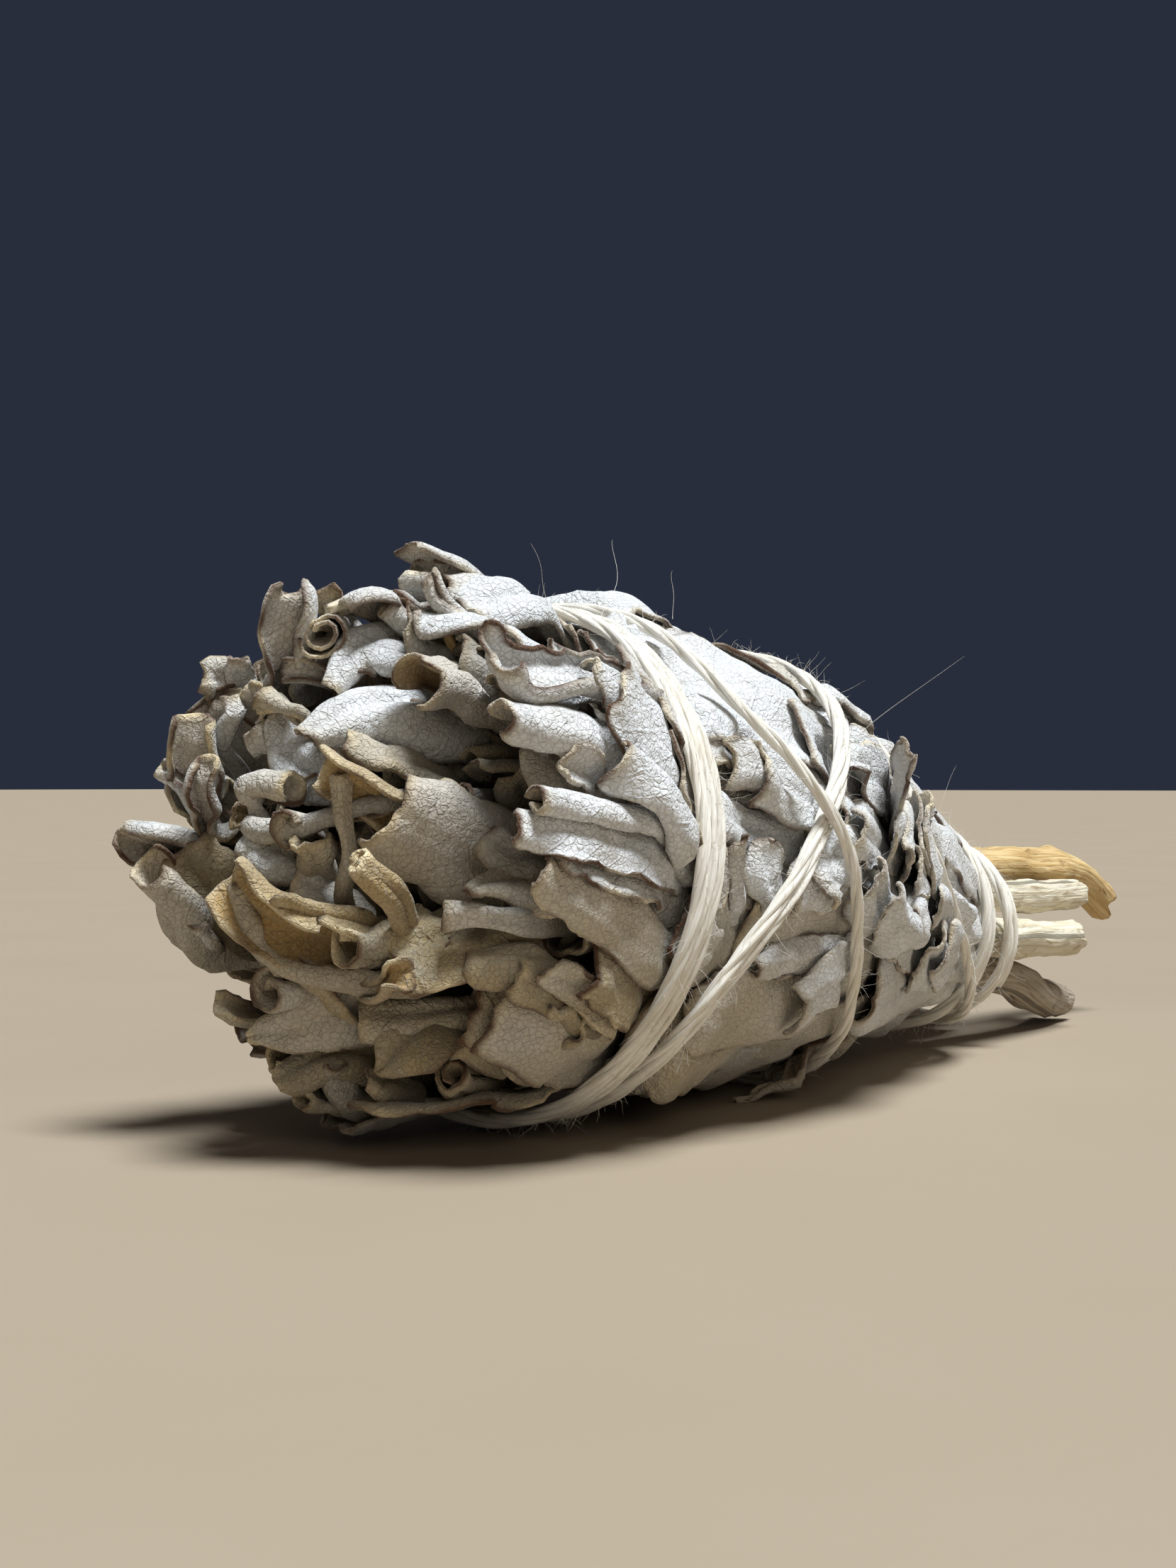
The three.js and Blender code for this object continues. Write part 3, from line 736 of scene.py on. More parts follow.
def leaf_spine(points, shape, u, seed):
    """A leaf's spine and, at each place on it, the directions of the tip, the outer side and the
    margin. The spine strays from its places, and the leaf turns to and fro along it."""
    spine, tangent = spline(points, u)
    middle_out = unit(outward(spline(points, np.array([0.6]))[0]))[0]
    facing = outward(spine) + 4 * middle_out
    if shape["faces"] is not None:
        facing = np.broadcast_to(np.array(shape["faces"], float), spine.shape)
    facing = square_to(tangent, facing)
    sideways = np.cross(tangent, facing)
    drift = stacked(2 * u, 3.0 * seed, 0.0)
    turn = np.radians(shape["turn"] + shape["twist"] * noise(drift, 0.8, seed))[:, None]
    sway, heave = (noise(drift, 0.5, seed + k)[:, None] for k in (2, 3))
    spine = spine + shape["stray"] * ease(u / 0.3)[:, None] * (sway * sideways + heave * facing)
    facing, sideways = (way * np.cos(turn) + np.cross(tangent, way) * np.sin(turn)
                        for way in (facing, sideways))
    return spine, tangent, facing, sideways


def margin_stretches(shape, along, half, v, seed):
    """How much wider or narrower the leaf is towards each margin: small scallops, and tears that
    go deeper."""
    edge = stacked(along, 9.0 * seed, 0.0)
    for side in (-1, 1):
        wander = noise(edge, 3.0, seed + side)
        scallop = SCALLOP_DEPTH * np.abs(np.sin(SCALLOP_RATE * along + 2 * wander))
        tear = shape["torn"] * np.clip(noise(edge, 1.3, seed + 4 + side) - 0.1, 0, 1) * 2
        share = (scallop - tear) / np.maximum(half, 0.5)
        yield 1 + np.clip(share, -0.5, 0.2)[:, None] * np.clip(side * v, 0, 1) ** 3


def blade_relief(shape, along, across, u, v, seed):
    """How far the blade's swells, creases, ruffled margins and midrib stand from its section."""
    blade = stacked(along[:, None], across, 7.0 * seed)
    swell = shape["wave"] * noise(blade * (0.6, 1, 1), 3.2, seed)
    crest = np.abs(noise(blade * (0.3, 1, 1), 2.2, seed + 11))
    valley = np.abs(noise(blade * (0.45, 1, 1), 1.7, seed + 14))
    crease = shape["crease"] * (0.8 * np.sqrt(valley) - 1.2 * np.sqrt(crest))
    fine_swell = 0.1 * noise(blade, 0.9, seed + 12)
    margin = ease((np.abs(v) - 0.4) / 0.6)
    ruffle = shape["ruffle"] * margin * noise(blade * (1, 0.2, 1), 2.8, seed + 13)
    rib = -shape["groove"] * np.exp(-((across / GROOVE_WIDTH) ** 2)) * ease((1 - u) / 0.2)[:, None]
    rib = rib + shape["pillow"] * (1 - (2 * np.abs(v) - 1) ** 2)
    veil = ease(u / 0.2)[:, None] * min(1, shape["width"] / FULL_RELIEF_WIDTH)
    return veil * (swell + crease + fine_swell + ruffle + rib)


def blade_surface(points, shape, seed, hidden):
    """The middle surface of a leaf along a spine of points in millimetres, root to tip.
    `hidden` is the share of the leaf that is deep inside the bundle."""
    along, u = leaf_rows(points, shape, hidden)
    v = np.linspace(-1, 1, 2 * max(4, int(shape["width"] / shape["step"] / 2)) + 1)
    spine, tangent, facing, sideways = leaf_spine(points, shape, u, seed)
    half = half_widths(shape, u)
    across, inward = blade_section(shape, v, u, half, seed)
    for stretch in margin_stretches(shape, along, half, v, seed):
        across = across * stretch
        inward = inward * stretch
    surface = (spine[:, None] + across[..., None] * sideways[:, None]
               - inward[..., None] * facing[:, None])

    # The tip's end is uneven, and torn where the leaf is broken
    reach = ease((u - TIP_START) / (1 - TIP_START))[:, None]
    end = stacked(v * half[-1], 5.0 * seed, 0.0)
    jag = noise(end, 2.6, seed + 7) + 0.6 * noise(end, 0.9, seed + 8)
    surface += (reach * shape["ragged"] * jag)[..., None] * tangent[:, None]
    stands_out = blade_relief(shape, along, across, u, v, seed)
    return surface + stands_out[..., None] * grid_normals(surface), u, v, along, half


def leaf_paint(shape, surface, u, v, along, half):
    """Two colours for each point: (warm, brown, cream) and (gold inner side, painted shade, torn
    end).
    """
    to_side = (1 - np.abs(v))[None, :] * half[:, None]
    to_tip = np.broadcast_to((along[-1] - along)[:, None], to_side.shape)
    near = 1 - ease(np.minimum(to_side, to_tip) / RIM_WIDTH)
    mottle = noise(surface, 1.7, 21)
    warm = np.clip(shape["warm"] + 0.15 * noise(surface, 4.0, 22), 0, 1)
    brown = np.clip(0.65 * near * shape["brown"] * (0.9 + 1.2 * mottle), 0, 1)
    cream = np.clip(near * shape["cream"] * (0.9 - 1.2 * mottle), 0, 1)
    # Painted shade: dark brown for leaves inside the bundle, more of it towards the root
    towards_root = shape["root_dark"] * (1 - ease(u / 0.75))[:, None]
    dark = np.clip(shape["dark"] + towards_root + 0.1 * mottle, 0, 1)
    end = 1 - ease(to_tip / 1.2)
    outer = (np.stack([warm, brown, cream], axis=-1),
             np.stack([np.full_like(warm, max(0, shape["gold"] - 0.6)), dark, end], axis=-1))
    inner = (outer[0], np.stack([np.full_like(warm, shape["gold"]), dark, end], axis=-1))
    return outer, inner


def leaf_mesh(name, slot, shape, surface, u, v, along, half):
    """A closed thin blade round its middle surface."""
    rings, columns = surface.shape[:2]
    normals = grid_normals(surface)
    midrib = MIDRIB_HEIGHT * np.exp(-((v[None, :] * half[:, None]) / MIDRIB_WIDTH) ** 2)
    thick = LEAF_THICKNESS / 2 * (1 + 0.25 * ease((np.abs(v) - 0.8) / 0.2))[None, :, None]
    upper = surface + (thick - 0.6 * midrib[..., None]) * normals
    lower = surface - (thick + midrib[..., None]) * normals
    faces, edge_loop = plate_faces(rings, columns)
    flat = surface.reshape(-1, 3)
    inner_row = np.clip(np.arange(rings), 1, rings - 2)
    inner_column = np.clip(np.arange(columns), 1, columns - 2)
    inner = surface[inner_row][:, inner_column].reshape(-1, 3)
    bulge = unit(flat - inner)[edge_loop] * LEAF_THICKNESS * RIM_BULGE
    rim = flat[edge_loop] + bulge
    points = np.vstack([upper.reshape(-1, 3), lower.reshape(-1, 3), rim])
    points[:, 2] = np.maximum(points[:, 2], 0.01)
    outer_paint, inner_paint = leaf_paint(shape, surface, u, v, along, half)
    paint = []
    for layer in range(2):
        over, under = (side[layer].reshape(-1, 3) for side in (outer_paint, inner_paint))
        rim_paint = over[edge_loop] * ((1, 1.8, 1) if layer == 0 else 1)
        paint.append(np.clip(np.vstack([over, under, rim_paint]), 0, 1))
    flat_map = stacked(along[:, None], v[None, :] * half[:, None]).reshape(-1, 2)
    blade_map = np.vstack([flat_map, flat_map, flat_map[edge_loop]])
    return add_mesh(name, points, faces, slot, LEAF_MATERIAL, paint, blade_map)


grown = []                      # leaves in the order in which they were laid


def grow(name, slot, shape, replaced, lifted, blade):
    raise_relief(blade[0], lifted)
    grown.append((name, slot, shape, replaced, lifted, blade))


def press_down():
    """Presses the leaves in, before others are laid over them."""
    pressure = pressure_map(UNDER)
    relief[:] = EMPTY
    for k, (name, slot, shape, replaced, lifted, (surface, *rest)) in enumerate(grown):
        surface = settle(surface, lifted, pressure)
        raise_relief(surface, lifted)
        grown[k] = (name, slot, shape, replaced, lifted, (surface, *rest))


def finish_leaves():
    """Makes the leaves' meshes, once all of them lie in place."""
    pressure = pressure_map(PUFF)
    for name, slot, shape, replaced, lifted, (surface, *rest) in grown:
        piece = leaf_mesh(name, slot, shape, settle(surface, lifted, pressure), *rest)
        if replaced:
            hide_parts(*replaced)


def free_leaf(name, spine, rooted=True, replaced=(), **changes):
    """A leaf along a spine of places, root to tip. A rooted one goes on towards its stem."""
    # Free leaves get painted shade towards their roots, deep in the bundle
    shape = {**LEAF, "root_dark": 0.75, **changes}
    if rooted:
        station, angle, radius = spine[0]
        deep = max(radius - ROOT_DEPTH, min(radius, CORE_RADIUS))
        spine = [(station + ROOT_LENGTH, angle, deep), *spine]
    points = place(*np.array(spine, float).T)
    blade = blade_surface(points, shape, len(grown) + 1, HIDDEN_SHARE if rooted else 0)
    grow(name, "leaf", shape, replaced, LIFTED, blade)


def laid_leaf(name, route, lift=0.0, replaced=(), slot="outer_leaf", **changes):
    """A domed leaf that lies over the ones laid before it. Its route is [station, angle], root to
    tip, and its tip stands up by lift."""
    seed = len(grown) + 1
    shape = {**LEAF, "hem": 25.0, "ruffle": 0.4, "stray": 0.0, "curl": LAID_CURL, **changes}
    stations, angles = np.array(route, float).T
    points = place(stations, angles, outline_radius(stations))
    surface, u, v, along, half = blade_surface(points, shape, seed, 0)
    where, around, own = heights(surface)
    dome = own - np.mean(own[:, [0, -1]])
    laid_before = relief[map_cell(where, around)]
    bed = np.maximum(smoothed(widened(laid_before, 3), 16), DEEPEST_BED)

    # Its margins stand open in places, and its root is tucked in
    edge = stacked(along[:, None], 6 * np.sign(v), 2.0 * seed)
    open_edge = np.clip(0.1 + 1.2 * noise(edge, 4.0, seed), 0, 1) * ease((np.abs(v) - 0.5) / 0.5)
    raised = lift * ease((u - 0.5) / 0.5)[:, None] + 0.9 * open_edge
    tucked = -1.2 * (1 - ease(u / 0.3))[:, None]
    height = bed - 0.3 + np.clip(dome, -0.8, 2.4) + raised + tucked
    below = smoothed(widened(laid_before, 1), 3)
    clear = below + 0.3 + 0.5 * open_edge + 1.5 * tucked
    height = np.logaddexp(STIFF * height, STIFF * clear) / STIFF
    surface = place(where, around, outline_radius(where) + height)
    grow(name, slot, shape, replaced, STACKED, (surface, u, v, along, half))


# ---------------------------------------------------------------- tubes: stalks, stems and string

# Rings of the dished end of a bar: their share of its radius, and how far they are sunk into it
DISH = ((0.8, 0.02), (0.4, 0.25), (0.0, 0.3))


def turns_of(sides):
    return np.arange(sides) / sides * 2 * math.pi


def circles(turns, one, two):
    """Unit circles, one for each pair of directions."""
    cosines, sines = (row[None, :, None] for row in (np.cos(turns), np.sin(turns)))
    return cosines * one[:, None] + sines * two[:, None]


def wall_faces(grid):
    """Faces between rings of points."""
    beside = np.roll(grid, -1, axis=1)
    return quads(grid[:-1], grid[1:], beside[1:], beside[:-1]).tolist()


def tube(path, radii, sides, jag=0.0, seed=0):
    """Points, faces and blade map of a round bar along a path. Its cut ends are dished, and its
    far end is torn by jag millimetres."""
    tangent = unit(np.gradient(path, axis=0))
    out = square_to(tangent, outward(path) + 0.5)
    turns = turns_of(sides)
    radii = np.broadcast_to(radii, (len(path), sides))
    rings = path[:, None] + radii[..., None] * circles(turns, out, np.cross(tangent, out))
    if jag:
        spots = stacked(np.cos(turns), np.sin(turns), 3.1 * seed)
        share = ease((np.arange(len(path)) - len(path) + 6) / 5)[:, None, None]
        rings = rings + share * jag * noise(spots, 0.55, seed)[None, :, None] * tangent[:, None]
    lids = []
    for end, inward in ((0, 1), (-1, -1)):
        middle = rings[end].mean(axis=0)
        for shrink, depth in DISH:
            sunk = inward * depth * radii.mean() * tangent[end]
            dish = middle + shrink * (rings[end] - middle) + sunk
            lids.append(dish if shrink else dish[:1])
    points = np.vstack([rings.reshape(-1, 3), *lids])
    grid = np.arange(len(path) * sides).reshape(len(path), sides)
    faces = wall_faces(grid)
    first = grid.size
    for end in (0, -1):
        outer = grid[end]
        for ring in range(len(DISH) - 1):
            inner = first + ring * sides + np.arange(sides)
            a, b = np.roll(outer, -1), np.roll(inner, -1)
            band = [outer, a, b, inner] if end == 0 else [inner, b, a, outer]
            faces += quads(*band).tolist()
            outer = inner
        tip = first + (len(DISH) - 1) * sides
        for k in range(sides):
            pair = (int(outer[k]), int(outer[(k + 1) % sides]))
            faces.append([*pair, tip] if end == 0 else [*pair[::-1], tip])
        first = tip + 1
    around = turns[None, :] * radii.mean()
    body_map = stacked(distances(path)[:, None], around).reshape(-1, 2)
    lid_map = np.zeros((len(points) - len(body_map), 2))
    lid_map[:, 1] = np.linspace(0, 3, len(lid_map))
    return points, faces, np.vstack([body_map, lid_map])


def joined(parts):
    """Several meshes as one."""
    faces = []
    first = 0
    for points, part_faces, _ in parts:
        faces += [[index + first for index in face] for face in part_faces]
        first += len(points)
    return np.vstack([part[0] for part in parts]), faces, np.vstack([part[2] for part in parts])


# ---------------------------------------------------------------- the string

PLIES = 4
PLY_RADIUS = 0.29
PLY_OFFSET = 0.27               # of a ply's middle from the string's
PLY_PITCH = 17.0
PLY_STEP = 0.8
PLY_SIDES = 6


def resampled(path, step):
    """A path's points at even steps, and how far along it they are."""
    lengths = distances(path)
    even = np.linspace(0, lengths[-1], int(lengths[-1] / step))
    return np.stack([np.interp(even, lengths, path[:, k]) for k in range(3)], axis=-1), even


def add_string():
    """The string in place of the part's. Returns its path and three directions along it."""
    path, along = resampled(string_path(), PLY_STEP)
    even_out(path, 2)
    tangent = unit(np.gradient(path, axis=0))
    out = square_to(tangent, outward(path))
    side = np.cross(tangent, out)
    spots = stacked(along, 0, 0)
    plies = []
    for ply in range(PLIES):
        twist = 2 * math.pi * (along / PLY_PITCH + ply / PLIES) + 0.5 * noise(spots, 5, ply)
        loose = PLY_OFFSET * (1 + 0.18 * noise(spots, 4, ply + 5))
        middle = path + (loose * np.cos(twist))[:, None] * out
        middle += (loose * np.sin(twist))[:, None] * side
        middle[:, 2] = np.maximum(middle[:, 2], PLY_RADIUS + FLOOR_CLEARANCE)
        radii = PLY_RADIUS * (1 + 0.1 * noise(spots, 1.5, ply + 9))
        plies.append(tube(middle, radii[:, None], PLY_SIDES))
    points, faces, blade_map = joined(plies)
    piece = add_mesh("wound_string", points, faces, "string", COTTON, blade_map=blade_map)
    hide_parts("cotton_string")
    return path, tangent, out, side


def hair(start, direction, length, curl, rng, radius, segments=5):
    """A thin fibre that leaves start along direction and curls."""
    t = np.linspace(0, 1, segments + 1)[:, None]
    bend = unit(rng.normal(size=3))
    other = unit(rng.normal(size=3))
    path = start + length * (t * direction + curl * t**2 * bend
                             + 0.12 * np.sin(5 * t + rng.random() * 6) * t * other)
    path[:, 2] = np.maximum(path[:, 2], 0.05)
    tangent = unit(np.gradient(path, axis=0))
    one = unit(np.cross(tangent, bend + 0.01))
    taper = radius * (1 - 0.6 * t)
    rings = path[:, None] + taper[:, None] * circles(turns_of(3), one, np.cross(tangent, one))
    grid = np.arange(3 * len(path)).reshape(-1, 3)
    faces = [*wall_faces(grid), grid[0, ::-1].tolist(), grid[-1].tolist()]
    spread = np.zeros((grid.size, 2))
    spread[:, 0] = np.repeat(t[:, 0], 3) * length
    return rings.reshape(-1, 3), faces, spread


FUZZ_HAIRS = 3000
FUZZ_RADIUS = 0.016
FUZZ_START = 0.45               # from the string's middle

# Longer fibres that have come loose: station and angle of where each starts, its length, how
# far up, outward and along the stick it goes, and its curl
LOOSE_FIBRES = [
    ((24, 70), 8.0, (1.0, 0.1, 0.6), 0.5), ((31, 66), 4.5, (0.9, 0.3, -0.3), 0.4),
    ((45, 33), 7.5, (0.6, 0.8, 0.9), 0.6), ((20, 76), 3.5, (1.0, 0.2, -0.4), 0.5),
    ((27, 20), 3.0, (0.2, 1.0, 0.9), 0.8), ((24, 0), 4.0, (0.1, 0.9, 1.0), 0.9),
    ((84, 70), 4.0, (0.9, 0.4, 0.4), 0.5), ((87, 100), 3.0, (1.0, 0.2, -0.2), 0.6),
]


def add_fuzz(path, tangent, out, side):
    """Short fibres all along the string, and a few long loose ones."""
    rng = np.random.default_rng(11)
    hairs = []
    for _ in range(FUZZ_HAIRS):
        k = rng.integers(5, len(path) - 5)
        turn = rng.uniform(-1.7, 1.7)
        away = math.cos(turn) * out[k] + math.sin(turn) * side[k]
        direction = unit(away + rng.uniform(-1.6, 1.6) * tangent[k])
        start = path[k] + FUZZ_START * away
        length = 0.5 + 1.9 * rng.random() ** 2.2
        hairs.append(hair(start, direction, length, rng.uniform(0.1, 0.6), rng, FUZZ_RADIUS))
    for (station, angle), length, (up, away_share, ahead), curl in LOOSE_FIBRES:
        start = place(station, angle, outline_radius(station) + 0.9)
        way = np.array([ahead, 0, up]) + away_share * unit(outward(start))
        hairs.append(hair(start, unit(way), length, curl, rng, 1.4 * FUZZ_RADIUS, 14))
    points, faces, blade_map = joined(hairs)
    add_mesh("string_fuzz", points, faces, "string", COTTON, blade_map=blade_map)


# ---------------------------------------------------------------- the stems

# Places from the leafy end to the cut end, as in the part, with radius, material and torn end
STEMS = [
    ([(22, 88, 5), (60, 88, 5), (88, 92, 6), (104, 90, 6.8), (121, 84, 6.6), (130, 76, 3.6)],
     2.2, GOLDEN_STEM, 2.2),
    ([(22, 20, 6), (60, 22, 5.6), (88, 36, 6), (102, 40, 6), (116, 46, 5.8)], 1.7, PALE_STEM, 0.8),
    ([(22, -20, 6), (60, -20, 6), (88, -8, 6), (100, -4, 6), (112, -6, 5.4)], 1.9, PALE_STEM, 1.4),
    ([(22, -62, 6), (60, -66, 5.6), (88, -60, 5.2), (100, -56, 5.6), (108, -66, 7.6),
      (118, -84, 7.9)], 2.0, GREY_STEM, 0.7),
    ([(22, -110, 6), (60, -112, 5.4), (88, -114, 5), (101, -116, 5)], 1.6, GREY_STEM, 0.5),
    ([(22, -160, 6), (60, -160, 5.5), (88, -160, 5.3), (104, -160, 5.3)], 1.8, PALE_STEM, 0.6),
    ([(22, 150, 6), (60, 150, 5.5), (88, 145, 5.3), (107, 145, 5.3)], 1.8, GREY_STEM, 0.6),
    ([(22, 180, 0.4), (60, 180, 0.4), (88, 180, 0.2), (99, 180, 0.2)], 1.7, PALE_STEM, 0.6),
]
STEM_SIDES = 24
STEM_STEP = 0.5
STEM_SHOWS = 78                 # station from which the stems can be seen
DEEP_RINGS = 6                  # only one ring in so many is kept before it
JOINT_PLACE = 14                # of a stem's thicker joint, from its cut end
JOINT_WIDTH = 2.2
STALK_SIDES = 10
STALK_STEP = 0.4


def course_through(places, step, points=300):
    """A curve through places, at even steps, and how far along it they are."""
    course, _ = spline(place(*np.array(places, float).T), np.linspace(0, 1, points))
    return resampled(course, step)


def add_stem(number, places, radius, material, jag):
    """A stem in place of one of the part's, ribbed and a little uneven."""
    path, along = course_through(places, STEM_STEP)
    deep = path[:, 0] - STATION_ZERO_X < STEM_SHOWS
    keep = ~deep | (np.arange(len(path)) % DEEP_RINGS == 0)
    path, along = path[keep], along[keep]
    turns = turns_of(STEM_SIDES)
    spots = stacked(along[:, None] / 6, 1.6 * np.cos(turns), 1.6 * np.sin(turns) + 9 * number)
    shape = 1 + 0.05 * np.cos(4 * turns) + 0.14 * noise(spots, 0.9, number)
    shape = shape + 0.07 * noise(spots, 0.3, number + 20)
    joint = np.exp(-(((along - along[-1] + JOINT_PLACE) / JOINT_WIDTH) ** 2))[:, None]
    radii = radius * (0.96 * shape + 0.14 * joint)
    points, faces, blade_map = tube(path, radii, STEM_SIDES, jag, number + 1)
    points[:, 2] = np.maximum(points[:, 2], 0.02)
    piece = add_mesh(f"dried_stem_{number}", points, faces, "stem", material, blade_map=blade_map)
    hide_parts(f"stem_{number}")


def add_stalk(name, places, radius, material, jag=0.4):
    """A leaf's stalk, or a bit of one, among the leaves."""
    path, along = course_through(places, STALK_STEP, 80)
    turns = turns_of(STALK_SIDES)
    spots = stacked(along[:, None] / 3, np.cos(turns), np.sin(turns) + len(name))
    radii = radius * (1 + 0.2 * noise(spots, 0.8, len(name)))
    points, faces, blade_map = tube(path, radii, STALK_SIDES, jag, len(name))
    add_mesh(name, points, faces, "leaf", material, blade_map=blade_map)


# ---------------------------------------------------------------- the leaves of the bundle

# Directions as the bundle is seen from its leafy end and a little to its near side
TOWARDS = np.array((-0.8, -0.6, 0.0))
AWAY = -TOWARDS
LEFT = np.array((-0.6, 0.8, 0.0))
RIGHT = -LEFT
UP = np.array((0.0, 0.0, 1.0))
DOWN = -UP

# An outer leaf that is smooth and close to the bundle
FLAT = {"hem": 5.0, "pillow": 0.0, "groove": 0.15, "wave": 0.2, "crease": 0.15, "ruffle": 0.15,
        "gold": 0.2}

# One that is smooth but full
SMOOTH = {"hem": 25.0, "pillow": 0.1, "groove": 0.15, "wave": 0.25, "crease": 0.2, "ruffle": 0.25}

# One that is rolled up
ROLL = {"pillow": 0.0, "groove": 0.1, "wave": 0.25, "crease": 0.2, "ruffle": 0.2}

# A line of the layout gives a leaf's name, its places from root to tip, its width in millimetres
# and its curl in degrees, and then what else differs from LEAF. Its dark and root shade values
# are painted shade.


def leaf(name, spine, width, curl=LEAF["curl"], **changes):
    """A leaf in the place of one of the part's, rooted among the stems."""
    free_leaf(f"{name}_blade", spine, replaced=(name,), width=width, curl=curl, **changes)


def bit(name, spine, width, curl=LEAF["curl"], **changes):
    """A bit of leaf, or one whose root can't be seen."""
    changes = {"base": 0.8, "tip": 0.7, **changes}
    free_leaf(name, spine, rooted=False, width=width, curl=curl, **changes)


def laid(name, route, width, curl=LAID_CURL, **changes):
    """A leaf laid over the others."""
    laid_leaf(name, route, width=width, curl=curl, **{"base": 0.7, **changes})


def laid_over(name, route, width, curl=LAID_CURL, **changes):
    """One in the place of one of the part's."""
    laid(f"{name}_blade", route, width, curl, replaced=(name,), slot="leaf", **changes)


def add_upper_leaves():
    """The top of the leafy end, and the leaves that stand up at its upper left."""
    bit("folded_margin", [(10, 138, 18), (8, 129, 18.5), (7.5, 122, 20.5), (7.5, 118, 22)],
        3.4, 200, faces=LEFT + TOWARDS, brown=0.8, dark=0.2, ragged=0.8)
    leaf("tall_leaf", [(12, 134, 17), (8, 123, 18), (7, 115, 20), (7, 111, 22)],
        7, 70, fold=90, fold_at=-0.3, faces=AWAY, tip=0.5, warm=0.1, base=0.8, turn=-15, hem=60,
        ragged=1.8, ruffle=0.8, groove=0.1, root_dark=0.9)
    leaf("scroll_leaf", [(22, 129, 18), (12, 117, 20.5), (6, 108, 18.7)],
        15, 640, spiral=0.25, tip=1, ragged=0.2, warm=0.3, brown=0.8)
    bit("lip_fold", [(13, 126, 16.5), (8, 120, 16), (7, 125, 17)], 3, 230, tip=0.9, faces=AWAY)
    leaf("arched_leaf", [(22, 108, 19.5), (15, 103, 20), (10, 101, 20.5), (8, 105, 19.5)],
        5, 150, faces=UP, warm=0.1, tip=0.7)
    bit("cream_tip", [(12, 112, 20), (9, 109, 20), (8, 108, 21)], 2.6, 80, warm=0.8, cream=1.0)
    bit("dark_rimmed_roll", [(16, 97, 16.5), (13, 99, 17.5), (11, 102, 19)],
        6, 290, brown=1.0, tip=0.8, faces=AWAY + DOWN)
    leaf("bulging_leaf", [(14, 97, 16.5), (11, 101, 17.5), (8, 103, 16), (6, 108, 13)],
        6, 130, faces=TOWARDS + UP, warm=0.1, tip=0.3)
    bit("bulging_leaf_2", [(14, 93, 15.5), (10, 95, 15.5), (8, 99, 15), (7.5, 101, 14)],
        4.5, 140, faces=TOWARDS + UP, warm=0.1)
    bit("smooth_leaf", [(21, 89, 15), (15, 88, 17.5), (12, 96, 19)],
        7, 110, faces=UP + LEFT, warm=0.0)
    bit("striped_leaf", [(19, 80, 15), (16, 83, 16.5), (13.5, 87, 18.5), (12, 91, 21)],
        4.6, 330, tip=0.9, brown=1.0, faces=AWAY + DOWN, warm=0.2, base=0.9)
    bit("scroll_end", [(17, 84, 15.5), (14, 85, 16.5)], 3, 300, tip=1)


